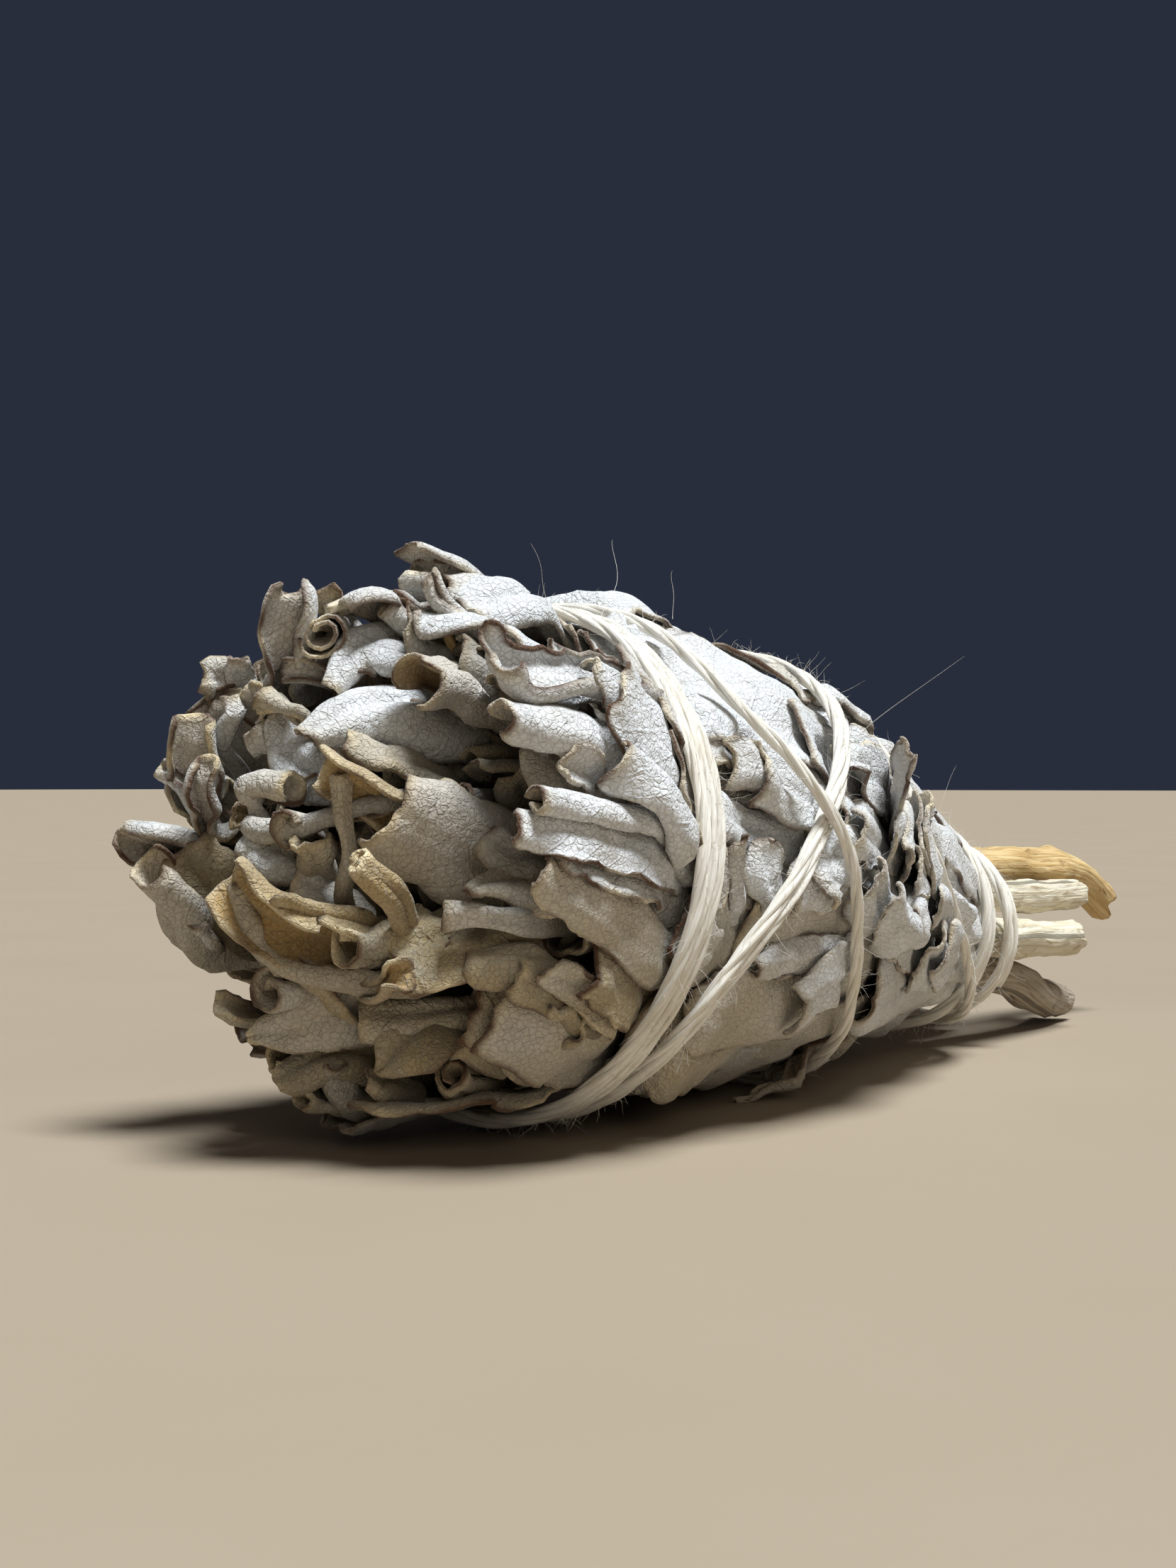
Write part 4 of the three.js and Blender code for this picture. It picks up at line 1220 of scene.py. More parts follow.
def add_left_leaves():
    """The far margin of the leafy end."""
    leaf("left_tip_leaf", [(14, 149, 18.5), (9, 143, 22.5), (7, 144, 23)],
        4, 50, faces=TOWARDS, warm=0.4, cream=0.6)
    bit("small_upright", [(12, 147, 19), (9, 141, 21.5), (8, 137, 22)], 2.6, 110, faces=TOWARDS)
    bit("dark_upright", [(11, 144, 18.5), (8, 140, 18.5), (7, 138, 19.5)],
        3, 60, faces=AWAY, cream=0.6)
    bit("wavy_upright", [(9, 160, 17), (6.5, 151, 17.5), (6, 144, 18), (6, 140, 19)],
        3, 250, faces=TOWARDS, tip=0.9)
    leaf("upright_leaf", [(9, 166, 20), (6, 158, 19.5), (5, 147, 20)],
        6.5, 190, faces=AWAY, cream=0.8, tip=0.9, warm=0.3)
    bit("behind_upright", [(11, 156, 19.5), (9, 149, 21), (8, 147, 22)],
        5, 60, faces=AWAY, cream=0.6)
    leaf("u_leaf", [(9, 173, 18), (5, 163, 16.5), (4, 153, 16.5)],
        5, 150, fold=60, faces=AWAY, cream=1.0, tip=0.7, warm=0.3)
    leaf("pale_tip_leaf", [(12, 179, 19), (7, 171, 19), (5, 165, 20), (4, 162, 21.5)],
        4.4, 240, tip=0.6, brown=0.8, faces=AWAY + DOWN)
    leaf("knob_leaf", [(10, 154, 13.5), (6, 144, 13), (5, 142, 14.5)],
        5, 200, faces=TOWARDS + LEFT, tip=0.8)
    bit("knob_stalk", [(6, 142, 13.5), (6, 136, 15.5)], 3, 300, tip=1, base=1)
    bit("flared_stalk", [(7, 124, 10.5), (5.5, 122, 13), (5, 126, 15.5)],
        5, 340, flare=0.15, tip=1.2, base=0.6, warm=0.7, cream=0.8)
    leaf("s_leaf", [(6, 122, 6), (5, 129, 8), (5, 133, 10.5), (6, 130, 14)],
        4.5, 70, faces=TOWARDS, warm=0.05)
    leaf("loop_leaf", [(6, 50, 7), (3, 60, 5.5), (2, 90, 4), (1.5, 143, 5), (1.5, 156, 8.5),
        (2, 150, 10.5), (2.5, 140, 9.5), (3, 127, 7.5)], 5.2, 325, base=0.9, tip=0.9, warm=0.4,
        cream=0.6, stray=0.1, twist=5)
    bit("loop_bowl", [(14, 159, 15.5), (8, 155, 11.5), (4, 148, 8.5)],
        13, 250, spiral=0.2, tip=1, warm=0.6, base=0.8)
    bit("cream_flake", [(4, 163, 11), (2, 163, 11)], 2, 80, cream=1.0, warm=1.0)
    leaf("mouth_leaf", [(14, -175, 18), (8, 178, 19.5), (4, 175, 20.5), (1.5, 175, 22)],
        8, 230, dark=0.15, tip=0.4, faces=UP + AWAY, brown=0.9, warm=0.2)
    leaf("cone_end_leaf", [(15, -150, 18), (8, -158, 21.5), (3, -166, 19), (0, -174, 18.5)],
        9, 290, tip=0.8, warm=0.5, dark=0.05, faces=DOWN + LEFT)
    bit("small_curl", [(8, -159, 20), (4, -165, 17.5)], 4, 260, tip=1)
    leaf("finger_leaf", [(13, -142, 17.5), (5, -150, 13), (0, -162, 10.5)],
        6, 300, tip=0.5, warm=0.6)
    bit("shaded_leaf", [(12, -155, 17), (6, -170, 16), (3.5, 178, 17)],
        6.5, 50, dark=0.3, faces=TOWARDS, warm=0.9, brown=0.9)


def add_middle_leaves():
    """The middle of the leafy end."""
    leaf("horn_leaf", [(22, 85, 11.5), (14, 87, 12), (9, 92, 12), (5, 98, 11), (2, 108, 9.5)],
        11, 190, base=0.7, tip=0.3, warm=0.15, hem=70, faces=UP + TOWARDS)
    bit("cut_roll", [(22, 70, 12), (17, 71, 13), (12, 74, 14.5), (7, 74, 14.7)],
        8.5, 270, tip=1, brown=1.0, gold=0.9, ragged=0.8, faces=UP + TOWARDS)
    bit("ribbon_leaf", [(15, 70, 5.5), (9, 72, 7.5), (6, 78, 8), (4, 91, 9)],
        3, 60, warm=0.8, faces=TOWARDS + UP, tip=0.9, base=1)
    bit("ribbon_tip", [(9, 103, 7.5), (6, 102, 8.5), (4, 107, 10)],
        2.2, 90, warm=0.3, faces=TOWARDS + UP)
    bit("golden_rim_leaf", [(9, 25, 4), (5, 45, 5.5), (2, 66, 6), (1, 88, 6.8)],
        5, 120, faces=AWAY + UP, warm=0.9, gold=1.0, cream=1.0, tip=0.8)
    leaf("cone_leaf", [(17, -31, 8), (10, -7, 8), (5, 12, 7.5), (2, 32, 7)],
        10.5, 140, root_dark=0.0, faces=TOWARDS + 0.1 * UP, tip=0.8, warm=0.45, gold=0.8, cream=0.8,
        crease=0.15, groove=0.05, pillow=0.0, wave=0.25)
    bit("upright_petiole", [(4, -90, 5), (1.5, 8, 2), (1, 69, 6.5)],
        3.8, 345, ruffle=0.1, tip=1, base=1, warm=0.8, crease=0.1)
    leaf("flared_leaf", [(8, -55, 8), (2, -20, 7.5), (-1.5, 3, 6.5)],
        6, 330, tip=1, warm=0.9, gold=1.0, cream=1.0, brown=0.2, ragged=0.3)
    bit("pale_arch", [(6, -157, 4), (2, 171, 3.5), (1, 172, 6), (0, -179, 7.5)],
        5, 140, faces=UP + TOWARDS, warm=0.1)
    bit("torn_tube", [(6, -179, 4.5), (0, 145, 4)], 4.4, 300, tip=1, ragged=0.9, warm=0.4)
    bit("flared_bit", [(6, -136, 5), (2, -149, 2), (0, 131, 1)],
        4.4, 170, faces=TOWARDS, warm=0.7, cream=0.9, tip=1)
    bit("grey_leaf", [(7, -99, 4), (3, -121, 2.5), (1, -160, 3)],
        5, 150, faces=UP + TOWARDS, warm=0.4)
    bit("grey_leaf_2", [(6, -108, 5.5), (3, -124, 4.5), (2, -145, 4)],
        5, 120, faces=UP + TOWARDS, warm=0.4)
    leaf("golden_leaf", [(6, -68, 6), (2, -106, 5), (-0.5, -142, 5), (-2, -172, 6)],
        8.5, 190, faces=0.3 * UP + RIGHT + 0.8 * AWAY, flare=0.3, tip=0.8, warm=0.9, gold=1.0,
        cream=1.0, brown=0.3, dark=0.1)
    bit("tongue_leaf", [(6, -62, 6.8), (1, -78, 4.5), (-3, -117, 3)],
        3.4, 160, warm=1.0, gold=0.8, tip=0.8)


def add_cavity_leaves():
    """Leaves in the hollow right of the middle, darkened with painted shade."""
    bit("cavity_leaf_1", [(18, 27, 3), (12, 50, 5), (8, 62, 7)],
        6, 130, faces=UP + TOWARDS, dark=0.5, root_dark=0.6, warm=0.1)
    bit("cavity_leaf_2", [(18, 20, 2.5), (13, 31, 5.5), (10, 41, 8)],
        3.4, 290, brown=1.0, tip=1, dark=0.45, root_dark=0.6)
    bit("cavity_leaf_3", [(20, 53, 6.5), (15, 51, 9), (12, 62, 8.5)],
        5, 90, faces=UP, dark=0.7, root_dark=0.5, warm=0.5)
    bit("cavity_leaf_4", [(18, 24, 7.5), (14, 29, 9.5), (12, 39, 10.5)],
        5, 120, faces=TOWARDS, dark=0.7, root_dark=0.5, warm=0.5)
    leaf("inner_stalk_leaf", [(18, -168, 4.5), (9, 100, 2.5), (6, 82, 4.5)],
        4, 200, tip=0.8, dark=0.3, warm=0.5)


def add_lower_leaves():
    """Below the middle, down to the floor, and the near margin."""
    leaf("ridge_leaf", [(14, -51, 7.5), (6, -61, 10.5), (3, -86, 9), (1.5, -109, 9), (0, -133, 8.5),
        (-1, -164, 7)], 6, 300, base=0.9, tip=0.6, warm=0.8)
    bit("ridge_bowl", [(16, -102, 11), (9, -115, 10.5), (3, -135, 8.5)],
        14, 130, faces=AWAY + DOWN, warm=0.9, tip=0.8)
    bit("ridge_end", [(4, -81, 9), (2.5, -60, 9.5), (1.5, -45, 11)],
        3.2, 230, tip=1.3, gold=1.0, brown=0.8, warm=0.9, ragged=0.8, faces=RIGHT)
    bit("square_tube", [(9, -70, 6.5), (4, -62, 7.5), (1, -68, 7.5)],
        8, 330, tip=1, spiral=0.2, cream=0.8, warm=0.8, ragged=0.6)
    bit("behind_tube", [(13, -28, 8), (6, -31, 9), (3, -49, 7.5)],
        9, 40, faces=TOWARDS + UP, warm=1.0, tip=0.8, hem=0, cream=0.6)
    leaf("ring_leaf", [(11, -125, 15), (4, -116, 12), (0, -117, 11.5)],
        9, 430, spiral=0.25, tip=1, warm=0.4, ragged=0.2)
    bit("dark_tip", [(8, -130, 17), (3, -131, 15.5), (1, -134, 15.5)],
        3.4, 150, brown=0.9, warm=0.6)
    leaf("lower_tip_leaf", [(10, -82, 10), (4, -94, 10.5), (2, -109, 12.5), (1, -120, 15)],
        5.6, 60, faces=TOWARDS, tip=0.1, warm=0.5, hem=0, cream=0.8)
    leaf("margin_leaf", [(14, -56, 13), (9, -56, 12), (6, -68, 11), (4, -86, 11)],
        6, 210, faces=UP + TOWARDS, warm=0.8, brown=0.8, base=0.8, tip=0.9, crease=0.2)
    bit("broken_leaf", [(10, -62, 12), (6, -72, 12.5), (4.5, -83, 14.5)],
        7, 30, dark=0.1, faces=TOWARDS + UP, warm=1.0, brown=0.8, tip=0.05, ragged=0.4, hem=0)
    leaf("low_leaf", [(13, -88, 15), (8, -97, 14), (5, -106, 14.5), (3, -114, 17)],
        6, 190, faces=UP + TOWARDS, warm=0.8, cream=0.7, tip=0.5, dark=0.2)
    leaf("dark_curl_leaf", [(12, -115, 19.5), (7, -117, 19), (4, -119, 17.5)],
        6, 230, faces=DOWN + LEFT, warm=0.6, brown=0.8, cream=0.6, dark=0.3, ruffle=0.9)
    bit("hollow_fold", [(12, -99, 19), (7, -99, 17.5), (5, -98, 14.5)],
        5, 150, fold=50, faces=RIGHT + TOWARDS, warm=0.5, tip=0.6, cream=0.7, dark=0.15)
    bit("small_low_leaf", [(9, -82, 16.5), (7, -85, 15.5), (5, -88, 15)],
        3.4, 120, dark=0.2, faces=TOWARDS + UP, warm=0.8)
    bit("low_scroll", [(12, -107, 20), (7, -106, 19.5), (4, -107, 18.5)],
        5, 330, tip=1, warm=0.7, dark=0.25)
    leaf("wavy_leaf", [(16, -64, 19), (12, -71, 17.5), (10, -77, 17.5), (7, -85, 17),
        (6, -96, 17.5)], 6, 40, warm=0.8, ruffle=1.2, faces=UP, cream=0.7, hem=0)
    leaf("scroll_low_leaf", [(15, -75, 18), (11, -73, 17.5), (8, -70, 16.5)],
        9, 500, spiral=0.25, tip=1, warm=0.9, brown=0.9, ragged=0.3)
    bit("square_under", [(17, -53, 19), (12, -49, 17.5), (9, -45, 15.5), (6.5, -46, 13.5)],
        5.8, 20, hem=0, base=0.9, tip=1, warm=0.8, brown=1.8, ragged=0.8, faces=TOWARDS)
    leaf("square_leaf", [(18, -52, 19.5), (13, -48, 18.5), (9, -43, 17), (6.5, -42, 15)],
        6.4, 20, hem=0, base=0.9, tip=1, warm=0.65, brown=1.4, ragged=0.8, faces=TOWARDS,
        crease=0.15, groove=0.1, wave=0.2, pillow=0.1)
    bit("low_layer", [(14, -58, 16.5), (10, -56, 15), (8, -56, 13.5)],
        5, 60, warm=0.9, brown=0.9, tip=1, faces=TOWARDS)
    leaf("fold_leaf", [(14, -28, 13.5), (8, -21, 13.5), (5, -29, 11)],
        7.5, 120, faces=UP + TOWARDS, tip=0.6, warm=1.0, gold=0.6, cream=0.6)
    bit("fold_curl", [(9, -41, 13.5), (6, -38, 12), (4, -32, 10)], 4, 200, warm=0.9, brown=0.7)
    bit("grey_tube", [(13, -17, 14.5), (7, -15, 14.5), (4, -17, 13), (2, -22, 11)],
        5, 330, tip=1, base=1.0, warm=0.5)
    leaf("pointed_leaf", [(15, -4, 12), (9, -4, 13), (6, -4, 12), (3, -10, 11.8)],
        7, 90, faces=TOWARDS + UP, tip=0.1, warm=0.7)
    bit("narrow_margin", [(14, 0, 13), (10, 5, 12.5), (8, 4, 11.5), (7, 12, 9.5)],
        4, 120, brown=0.8, faces=UP + TOWARDS, warm=0.3, dark=0.2)
    leaf("crossing_leaf", [(16, 22, 16.5), (12, 26, 15.5), (11, 40, 13.5)],
        7, 70, fold=100, faces=UP, warm=0.5, cream=0.6, tip=0.5)
    bit("crossing_leaf_2", [(16, 18, 16), (13, 24, 15), (12, 35, 13.5)],
        6, 50, faces=UP + TOWARDS, warm=0.5, cream=0.6, tip=0.4)


def add_near_leaves():
    """Between the leafy end and the string on the near side, from the lowest to the topmost."""
    laid("under_curled", [(19, -41), (12, -31), (7, -25)], 4, lift=-1.5, warm=0.7, brown=0.9)
    laid_over("curled_leaf", [(26, -38), (18, -30), (10, -23)],
        6, 60, lift=-1, warm=0.9, ruffle=0.9, brown=1.4, tip=0.8, dark=0.12)
    bit("flap_1", [(12, -34, 17), (8, -31, 16.5), (5.5, -29, 15.5)],
        3.6, 60, faces=TOWARDS, warm=1.0, brown=0.9, dark=0.1)
    bit("flap_2", [(14, -40, 18.5), (10, -36, 18), (8, -33, 17.5)],
        2.6, fold=70, faces=TOWARDS, warm=0.9, tip=0.2)
    laid("beside_oval", [(27, -16), (20, -11), (13, -2)],
        5.4, 60, **SMOOTH, base=1.0, tip=0.15, warm=0.25, lift=0.3)
    laid_over("oval_leaf", [(26, -29), (17, -20), (10, -10), (4, -1)],
        5.6, 100, **SMOOTH, lift=-1.5, tip=0.5, base=0.8, warm=0.65, ragged=0.2)
    laid("beside_rolled", [(21, 9), (17, 15), (14.5, 20)], 3.8, tip=0.8, warm=0.1)
    laid("small_fold_2", [(20, -1), (17, 2), (14, 5)], 2.6, fold=80, warm=0.3)
    laid("long_under", [(20, -8), (12, -1), (5, 3)], 4, **SMOOTH, warm=0.2, lift=-1.5)
    laid_over("long_leaf", [(25, -5), (16, 1), (8, 6.5), (2, 9)],
        5.2, 110, **SMOOTH, base=0.9, lift=-2, tip=0.5, warm=0.05, brown=1.4)
    laid_over("hollow_leaf", [(19, 6), (13, 10), (8, 12), (3, 14)], 5.4, 330, lift=-1, hem=0, tip=1,
        base=0.8, ragged=0.4, brown=1.0, warm=0.1, gold=0.5, **ROLL)
    laid("edge_leaf", [(18, 51), (12, 55), (7, 56)], 4, lift=0.5, brown=0.8, warm=0.1)
    laid("top_under", [(20, 55), (14, 53), (8, 50)], 7, 60, **SMOOTH, warm=0.1, tip=0.6)
    laid("small_fold", [(15, 45), (13, 49), (11, 50)], 3.4, fold=50, warm=0.1)
    laid("long_rolled", [(20, 20), (14, 25), (8, 29), (2, 33)],
        7.5, 240, lift=-1, base=0.8, tip=0.75, warm=0.05, brown=0.9, hem=0, **ROLL)
    leaf("crumpled_leaf", [(16, 40, 19.5), (10, 41, 18.8), (5, 43, 18), (2.5, 45, 19.2)], 7, 120,
        hem=80, faces=AWAY + DOWN, base=0.8, tip=0.9, warm=0.05, brown=1.0, gold=0.1, root_dark=0.2)
    laid("corner_leaf", [(19, 28), (14, 34), (12, 37), (10, 40)], 6, fold=60, warm=0.05, brown=1.2)
    laid_over("broad_leaf", [(25, 13), (18, 22), (14, 30), (12, 36)],
        8, 40, **SMOOTH, tip=0.7, warm=0.0, brown=1.5)
    laid("small_face_leaf", [(11, 19), (8, 21), (6, 22)], 3, warm=0.2)
    laid_over("rolled_leaf", [(20.5, -1), (16, 7), (13, 15), (10, 21)],
        6.6, 240, hem=0, tip=0.95, base=0.8, warm=0.05, lift=-0.5, **ROLL)


def add_top_leaves():
    """On the ridge of the leafy end, over the leaves that are pressed in."""
    bit("edge_on_1", [(26, 99, 23), (20, 97, 23.5), (16, 97, 23.5), (14, 99, 24)],
        5, 40, faces=UP, warm=0.1, brown=0.8)
    bit("edge_on_2", [(25, 101, 23), (19, 99, 23.5), (16, 100, 24)],
        5, 60, faces=UP, warm=0.1, brown=0.8)
    leaf("ridge_top_leaf", [(28, 100, 21), (20, 94, 22), (15, 95, 22)],
        7, 300, tip=1, brown=1.0, faces=UP, gold=0.7)
    bit("top_stub", [(14, 98, 19.5), (13, 96, 21), (13, 96, 22)], 2.2, 70, faces=TOWARDS, tip=0.9)
    bit("top_curl", [(22, 91, 19), (17, 89, 20.5), (15, 93, 20.5)], 5.5, 220, faces=UP)
    leaf("top_leaf", [(27, 81, 20.5), (19, 81, 21), (14, 84, 19)],
        8, 90, faces=UP + TOWARDS, warm=0.0, tip=0.5)


UNDER_LEAVES = 18
WRAP_ANGLES = [-90, 62, 34, 6, -24, -56, -124, -154, 178, 144, 104]
NECK_LEAVES = 15
CRUMPLES = 14


def add_outer_leaves():
    """Leaves lying over each other from the string to the neck, all the way round."""
    rng = np.random.default_rng(5)

    # First a layer close to the stems, then shorter leaves from the string's turns to the neck
    for k in range(UNDER_LEAVES):
        angle = 360 / UNDER_LEAVES * k + 8 * rng.uniform(-1, 1)
        tip = (17 + 7 * rng.random(), angle)
        laid_leaf(f"under_leaf_{k + 1:02d}", [(66, angle - 4), (46, angle), tip], **FLAT,
            width=11, curl=40, tip=0.7, warm=0.2 + 0.3 * rng.random(), step=1.8 * MESH_STEP)
    for k, angle in enumerate(WRAP_ANGLES):
        end = 62 + 9 * (k % 3)
        tip = (24 + 4 * (1 + k % 2), angle + 3)
        # Wrap leaves below the axis get more warm brown: painted shade and warm bounce light from
        # below
        laid_leaf(f"wrap_blade_{k + 1:02d}",
            [(end + 12, angle - 4), (end, angle - 2), (44, angle), (34, angle), tip], **FLAT,
            width=14, curl=38, tip=0.6, base=0.35, warm=0.1 + 0.45 * (angle < 0),
            step=1.3 * MESH_STEP, replaced=(f"wrap_leaf_{k + 1:02d}",))
    for k in range(NECK_LEAVES):
        angle = 360 / NECK_LEAVES * k + 8 + 7 * rng.uniform(-1, 1)
        station = 46 + 12 * rng.random()
        tip = (station, angle + 6 * rng.uniform(-1, 1))
        laid_leaf(f"neck_leaf_{k + 1:02d}", [(88, angle - 3), (76, angle), tip],
            lift=0.8 * rng.random(), width=8 + 3 * rng.random(), tip=0.5, base=0.45,
            warm=0.05 + 0.2 * rng.random(), hem=40, fold=40 * rng.random(), crease=0.3)


def add_scraps():
    """Smaller leaves and scraps over the outer leaves, and stalks in the leafy end."""
    laid("far_pale_leaf", [(50, 84), (38, 88), (24, 86)], 9, **FLAT, tip=0.7, warm=0.0, brown=0.9)
    laid("low_outer_leaf_1", [(40, -55), (30, -48), (19, -42)], 9, **FLAT, tip=0.7, warm=0.7)
    laid("low_outer_leaf_2", [(46, -34), (36, -36), (24, -36)], 8, **FLAT, tip=0.5, warm=0.6)
    laid("smooth_pale_leaf", [(50, 40), (40, 46), (30, 50), (21, 52)],
        16, 45, **FLAT, tip=0.75, warm=0.0, ragged=0.9, brown=0.9)
    laid("brown_margin", [(36, 74), (41, 68), (45, 58), (46, 50)],
        2.6, 60, brown=1.0, warm=0.5, tip=0.7)
    laid("grey_pale_leaf", [(56, 22), (46, 28), (38, 34)], 8, **FLAT, tip=0.8, warm=0.05)
    laid("rounded_leaf", [(58, 2), (48, 5), (39, 10)], 8, **FLAT, tip=0.8, lift=0.5, warm=0.1)
    laid("cross_leaf", [(38, 2), (30, 9), (21, 13)], 4.6, 50, tip=0.8, warm=0.05)
    laid("cracked_leaf_end", [(31, 21), (27, 23), (24.5, 23)], 4, tip=0.9, ragged=0.8, brown=1.0)
    laid("cracked_leaf", [(37, 13), (33, 17), (28, 21)],
        6, 50, tip=0.95, ragged=1.2, brown=1.0, warm=0.05)
    laid("ragged_strip", [(22, -14), (22, -4), (21, 8)], 2.8, torn=0.8, warm=0.25, ragged=0.9)
    laid("folded_scrap_1", [(27, -14), (25, -4), (24, 6)], 3.6, fold=90, warm=0.2, lift=0.3)
    laid("folded_scrap_2", [(31, -12), (29, -2), (28, 6)], 5, 100, warm=0.1)
    laid("patch_1", [(26, -21), (21, -17), (18, -13)], 4.5, tip=0.9, warm=0.4)
    laid("slit_leaf", [(46, -18), (38, -20), (29, -24)], 5, fold=60, warm=0.25, brown=0.8)
    laid("neck_slit", [(74, -2), (60, -5), (50, -10)], 7, fold=70, lift=0.8, warm=0.1)
    laid("lifted_tip_1", [(54, 24), (47, 26), (41, 28)], 6, lift=4.5, tip=0.3)
    laid("lifted_tip_2", [(64, 20), (53, 20), (44, 24)], 7, lift=5.5, tip=0.25, warm=0.0)
    bit("narrow_tip", [(54, -44, 18), (50, -56, 19.5), (47, -66, 20.5), (43, -72, 21)],
        4, 100, tip=0.1, warm=0.6)
    add_stalk("cream_tube", [(14, 100, 20), (10, 102, 20), (7, 107, 19)], 0.45, PALE_STEM)
    add_stalk("broken_stalk", [(15, 88, 15), (14, 88, 16), (13, 90, 18.5)], 0.4, GOLDEN_STEM, 1.2)
    add_stalk("broken_stalk_foot", [(16, 84, 15), (15.5, 86, 14.5), (15, 89, 14.5)],
        0.5, GOLDEN_STEM, 1.2)


def add_crumples():
    """Crumpled leaves on the near side, from the string's slanted turns to the neck."""
    rng = np.random.default_rng(6)
    for k in range(CRUMPLES):
        station = 31 + 2.4 * k
        angle = -30 + 46 * rng.random()
        tip = (station, angle + rng.uniform(-8, 12))
        laid(f"crumple_{k + 1:02d}", [(station + 9, angle), (station + 4, angle + 2), tip],
            5 + 3 * rng.random(), 30 + 60 * rng.random(), fold=50 * rng.random(),
            lift=0.4 * rng.random(), warm=0.15 * rng.random(), tip=0.6 + 0.3 * rng.random(),
            brown=0.4, crease=0.6, ragged=0.9)


FILLING_LEAVES = 110            # laid out as seeds are in a sunflower
GOLDEN_ANGLE = 137.5
FILLED_RADIUS = 17.5
HOLLOW = (7.0, 6.5, 8.0)        # place across the bundle and reach of the hollow in its leafy end
HOLLOW_DEPTH = 9
HOLLOW_CORE = 4                 # where it is deeper than this, it is empty


def add_filling_leaves():
    """More leaves of the sprigs, whose tips stop just behind those in the face."""
    rng = np.random.default_rng(3)
    for k in range(FILLING_LEAVES):
        angle = GOLDEN_ANGLE * k
        radius = FILLED_RADIUS * math.sqrt((k + 0.5) / FILLING_LEAVES)
        x, y = radius * math.cos(math.radians(angle)), radius * math.sin(math.radians(angle))
        off = math.hypot(x - HOLLOW[0], y - HOLLOW[1])
        hollow = HOLLOW_DEPTH * max(0, 1 - off / HOLLOW[2])
        if hollow > HOLLOW_CORE:
            continue
        station = 9.5 + 4 * rng.random() + hollow
        shift = rng.uniform(-14, 14)
        spine = [(26 + hollow, angle, 0.85 * radius),
                 (17 + hollow, angle + shift / 2, 0.95 * radius),
                 (station, angle + shift, radius + rng.uniform(-1.5, 1.5))]
        # Painted shade: filling leaves are dark brown, darker where they lie deeper in the hollow
        bit(f"filling_leaf_{k + 1:02d}", spine, 5.5 + 4 * rng.random(), 70 + 200 * rng.random(),
            turn=rng.uniform(-60, 60), tip=0.4 + 0.5 * rng.random(), base=0.5,
            warm=0.3 + 0.5 * rng.random(), cream=0.4 * rng.random(), dark=0.5 + 0.05 * hollow,
            step=1.4 * MESH_STEP)


def add_back_leaves():
    """Over the pressed leaves on the top, the far side and the underside of the leafy end."""
    rng = np.random.default_rng(4)
    for k, angle in enumerate(range(128, 262, 9)):
        tip = (6 + 6 * rng.random(), angle + rng.uniform(-5, 5))
        laid_leaf(f"back_leaf_{k + 1:02d}", [(28, angle), (17, angle + 2), tip],
            lift=rng.uniform(-1.5, 0.8), width=6 + 3 * rng.random(),
            curl=60 + 60 * rng.random(), warm=0.2 + 0.3 * rng.random(), cream=0.5)


add_filling_leaves()
add_left_leaves()
add_middle_leaves()
add_cavity_leaves()
add_lower_leaves()
press_down()
add_back_leaves()
add_upper_leaves()
add_top_leaves()
add_near_leaves()
add_outer_leaves()
add_scraps()
add_crumples()
finish_leaves()
for number, stem in enumerate(STEMS, start=1):
    add_stem(number, *stem)
add_fuzz(*add_string())


# ---------------------------------------------------------------- floor, light and camera

FLOOR_REACH = 8.0               # metres
FLOOR_DARK = (0.335, 0.27, 0.195)
FLOOR_LIGHT = (0.365, 0.30, 0.225)
ROOM_COLOUR = (0.93, 0.95, 1.0, 1)
ROOM_STRENGTH = 0.025
BACKDROP = (0.022, 0.027, 0.045, 1)     # what the camera sees of the world
KEY_LAMP = (5.6, (0.905, 0.955, 1.0), 22)       # strength, colour and angular size in degrees
FILL_LAMP = (0.36, (1.0, 0.93, 0.83), 30)


def add_floor():
    mesh = bpy.data.meshes.new("floor")
    square = ((-1, -1), (1, -1), (1, 1), (-1, 1))
    corners = [(x * FLOOR_REACH, y * FLOOR_REACH, 0) for x, y in square]
    mesh.from_pydata(corners, [], [(0, 1, 2, 3)])
    shader = Shader("pale_floor", 0.6, 0.0)
    colour = shader.mixed(shader.mottle(40.0), FLOOR_DARK, FLOOR_LIGHT)
    mesh.materials.append(shader.finish(colour, shader.weighted((shader.mottle(2.0), 0.02))))
    floor = show("floor", mesh)
    floor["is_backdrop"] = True


def add_sun(name, towards, strength, colour, softness):
    """A soft lamp that shines from towards, a direction from the object."""
    light = bpy.data.lights.new(name, "SUN")
    light.energy = strength
    light.color = colour
    light.angle = math.radians(softness)
    show(name, light).rotation_euler = towards.to_track_quat("Z", "Y").to_euler()


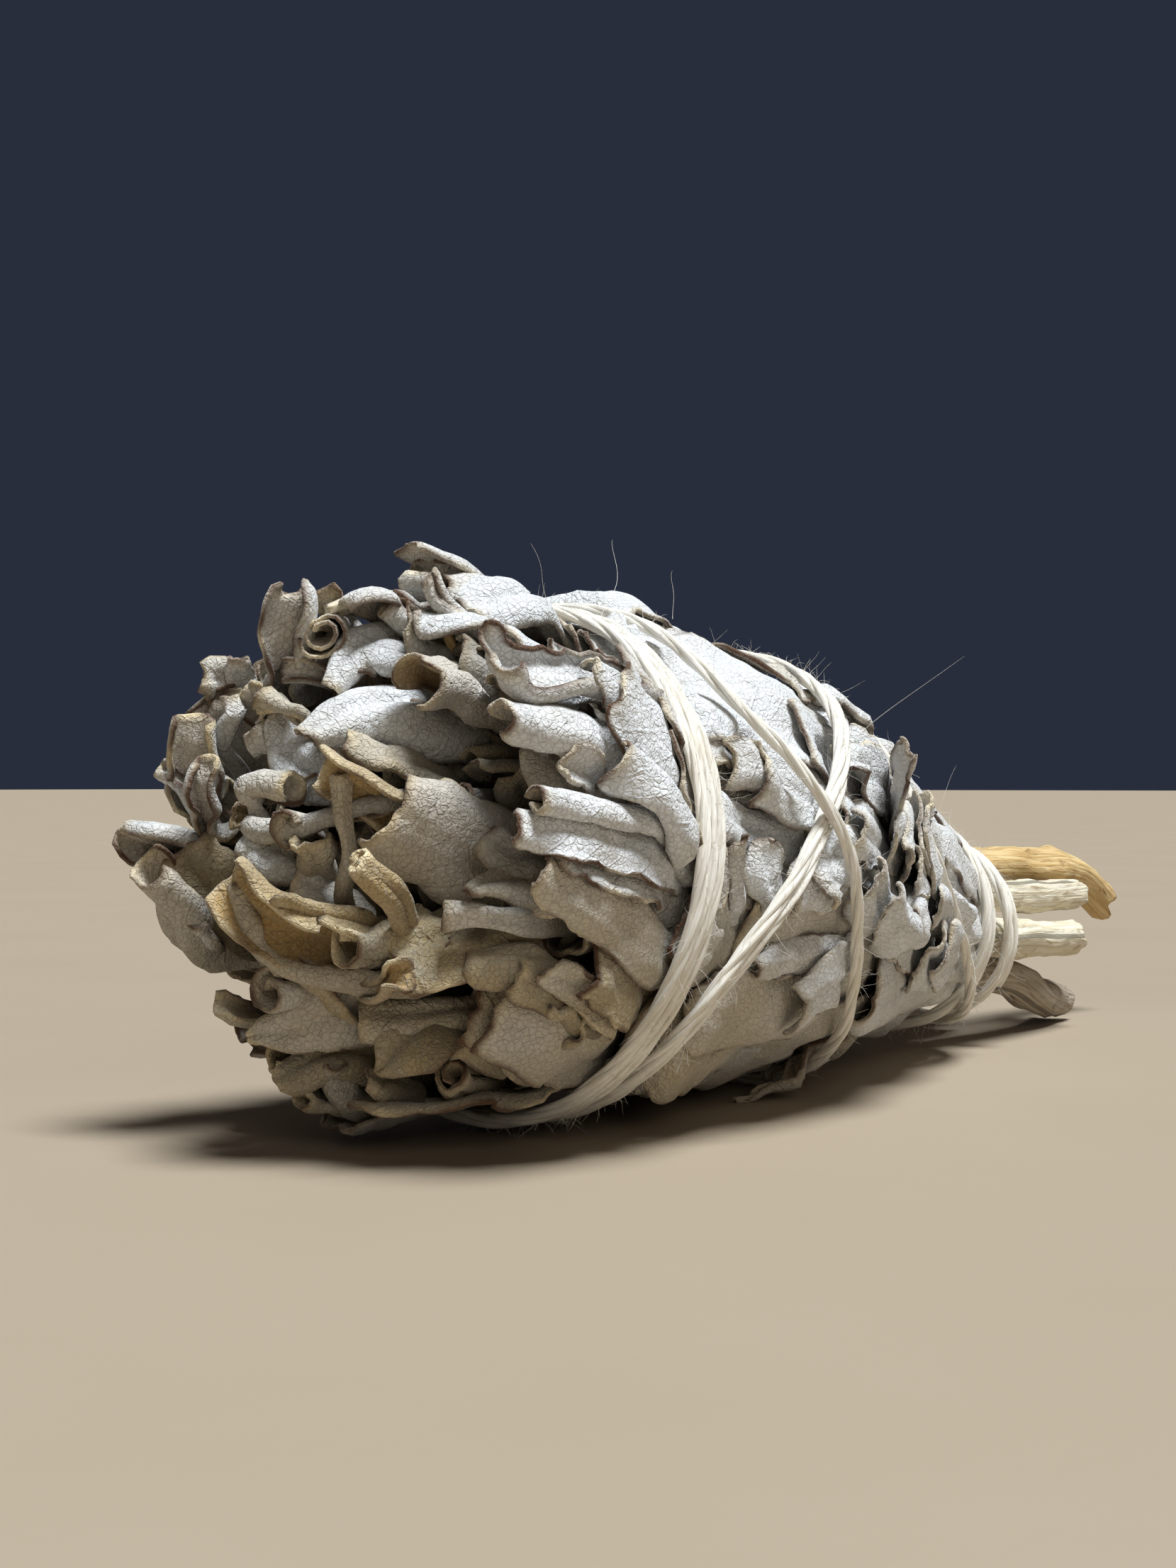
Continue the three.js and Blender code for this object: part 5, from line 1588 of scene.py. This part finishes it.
def add_world():
    """A dim even room, and a plain dark backdrop for camera and glossy rays."""
    world = bpy.data.worlds.new("studio")
    world.use_nodes = True
    nodes, links = world.node_tree.nodes, world.node_tree.links
    room = nodes["Background"]
    room.inputs["Color"].default_value = ROOM_COLOUR
    room.inputs["Strength"].default_value = ROOM_STRENGTH
    seen = nodes.new("ShaderNodeBackground")
    seen.inputs["Color"].default_value = BACKDROP
    rays = nodes.new("ShaderNodeLightPath")
    either = nodes.new("ShaderNodeMath")
    either.operation = "MAXIMUM"
    links.new(rays.outputs["Is Camera Ray"], either.inputs[0])
    links.new(rays.outputs["Is Glossy Ray"], either.inputs[1])
    blend = nodes.new("ShaderNodeMixShader")
    for socket, node in zip(blend.inputs, (either, room, seen)):
        links.new(node.outputs[0], socket)
    links.new(blend.outputs[0], nodes["World Output"].inputs["Surface"])
    bpy.context.scene.world = world


# The camera looks level across the stick, at this angle from its length
VIEW_TURN = math.radians(37)
VIEW_DISTANCE = 190.0
VIEW_HEIGHT = 26.5
AIM_STATION = 46.4              # of the point that it looks at
AIM_BEHIND = 11.3               # and how far that point is behind the bundle's axis
FOCAL_LENGTH = 48.8             # for a 36 mm high picture

forward = Vector((math.cos(VIEW_TURN), math.sin(VIEW_TURN), 0))
rightward = Vector((math.sin(VIEW_TURN), -math.cos(VIEW_TURN), 0))


def add_camera():
    camera = bpy.data.cameras.new("camera")
    camera.lens = FOCAL_LENGTH
    camera.clip_start = 0.01
    aim = Vector((AIM_STATION + STATION_ZERO_X, AXIS_Y + AIM_BEHIND, VIEW_HEIGHT))
    stand = show("camera", camera)
    stand.location = (aim - VIEW_DISTANCE * forward) * MM
    stand.rotation_euler = (math.pi / 2, 0, VIEW_TURN - math.pi / 2)
    bpy.context.scene.camera = stand


add_floor()
add_world()
up = Vector((0, 0, 1))
add_sun("key_lamp", -0.2 * forward + 0.25 * rightward + up, *KEY_LAMP)
add_sun("fill_lamp", -0.9 * forward + 0.3 * rightward + 0.45 * up, *FILL_LAMP)
add_camera()
bpy.context.scene.view_settings.view_transform = "Standard"

sizes = {"cad": bounds_before, "visual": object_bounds()}
{name: [[float(v) for v in corner] for corner in box] for name, box in sizes.items()}
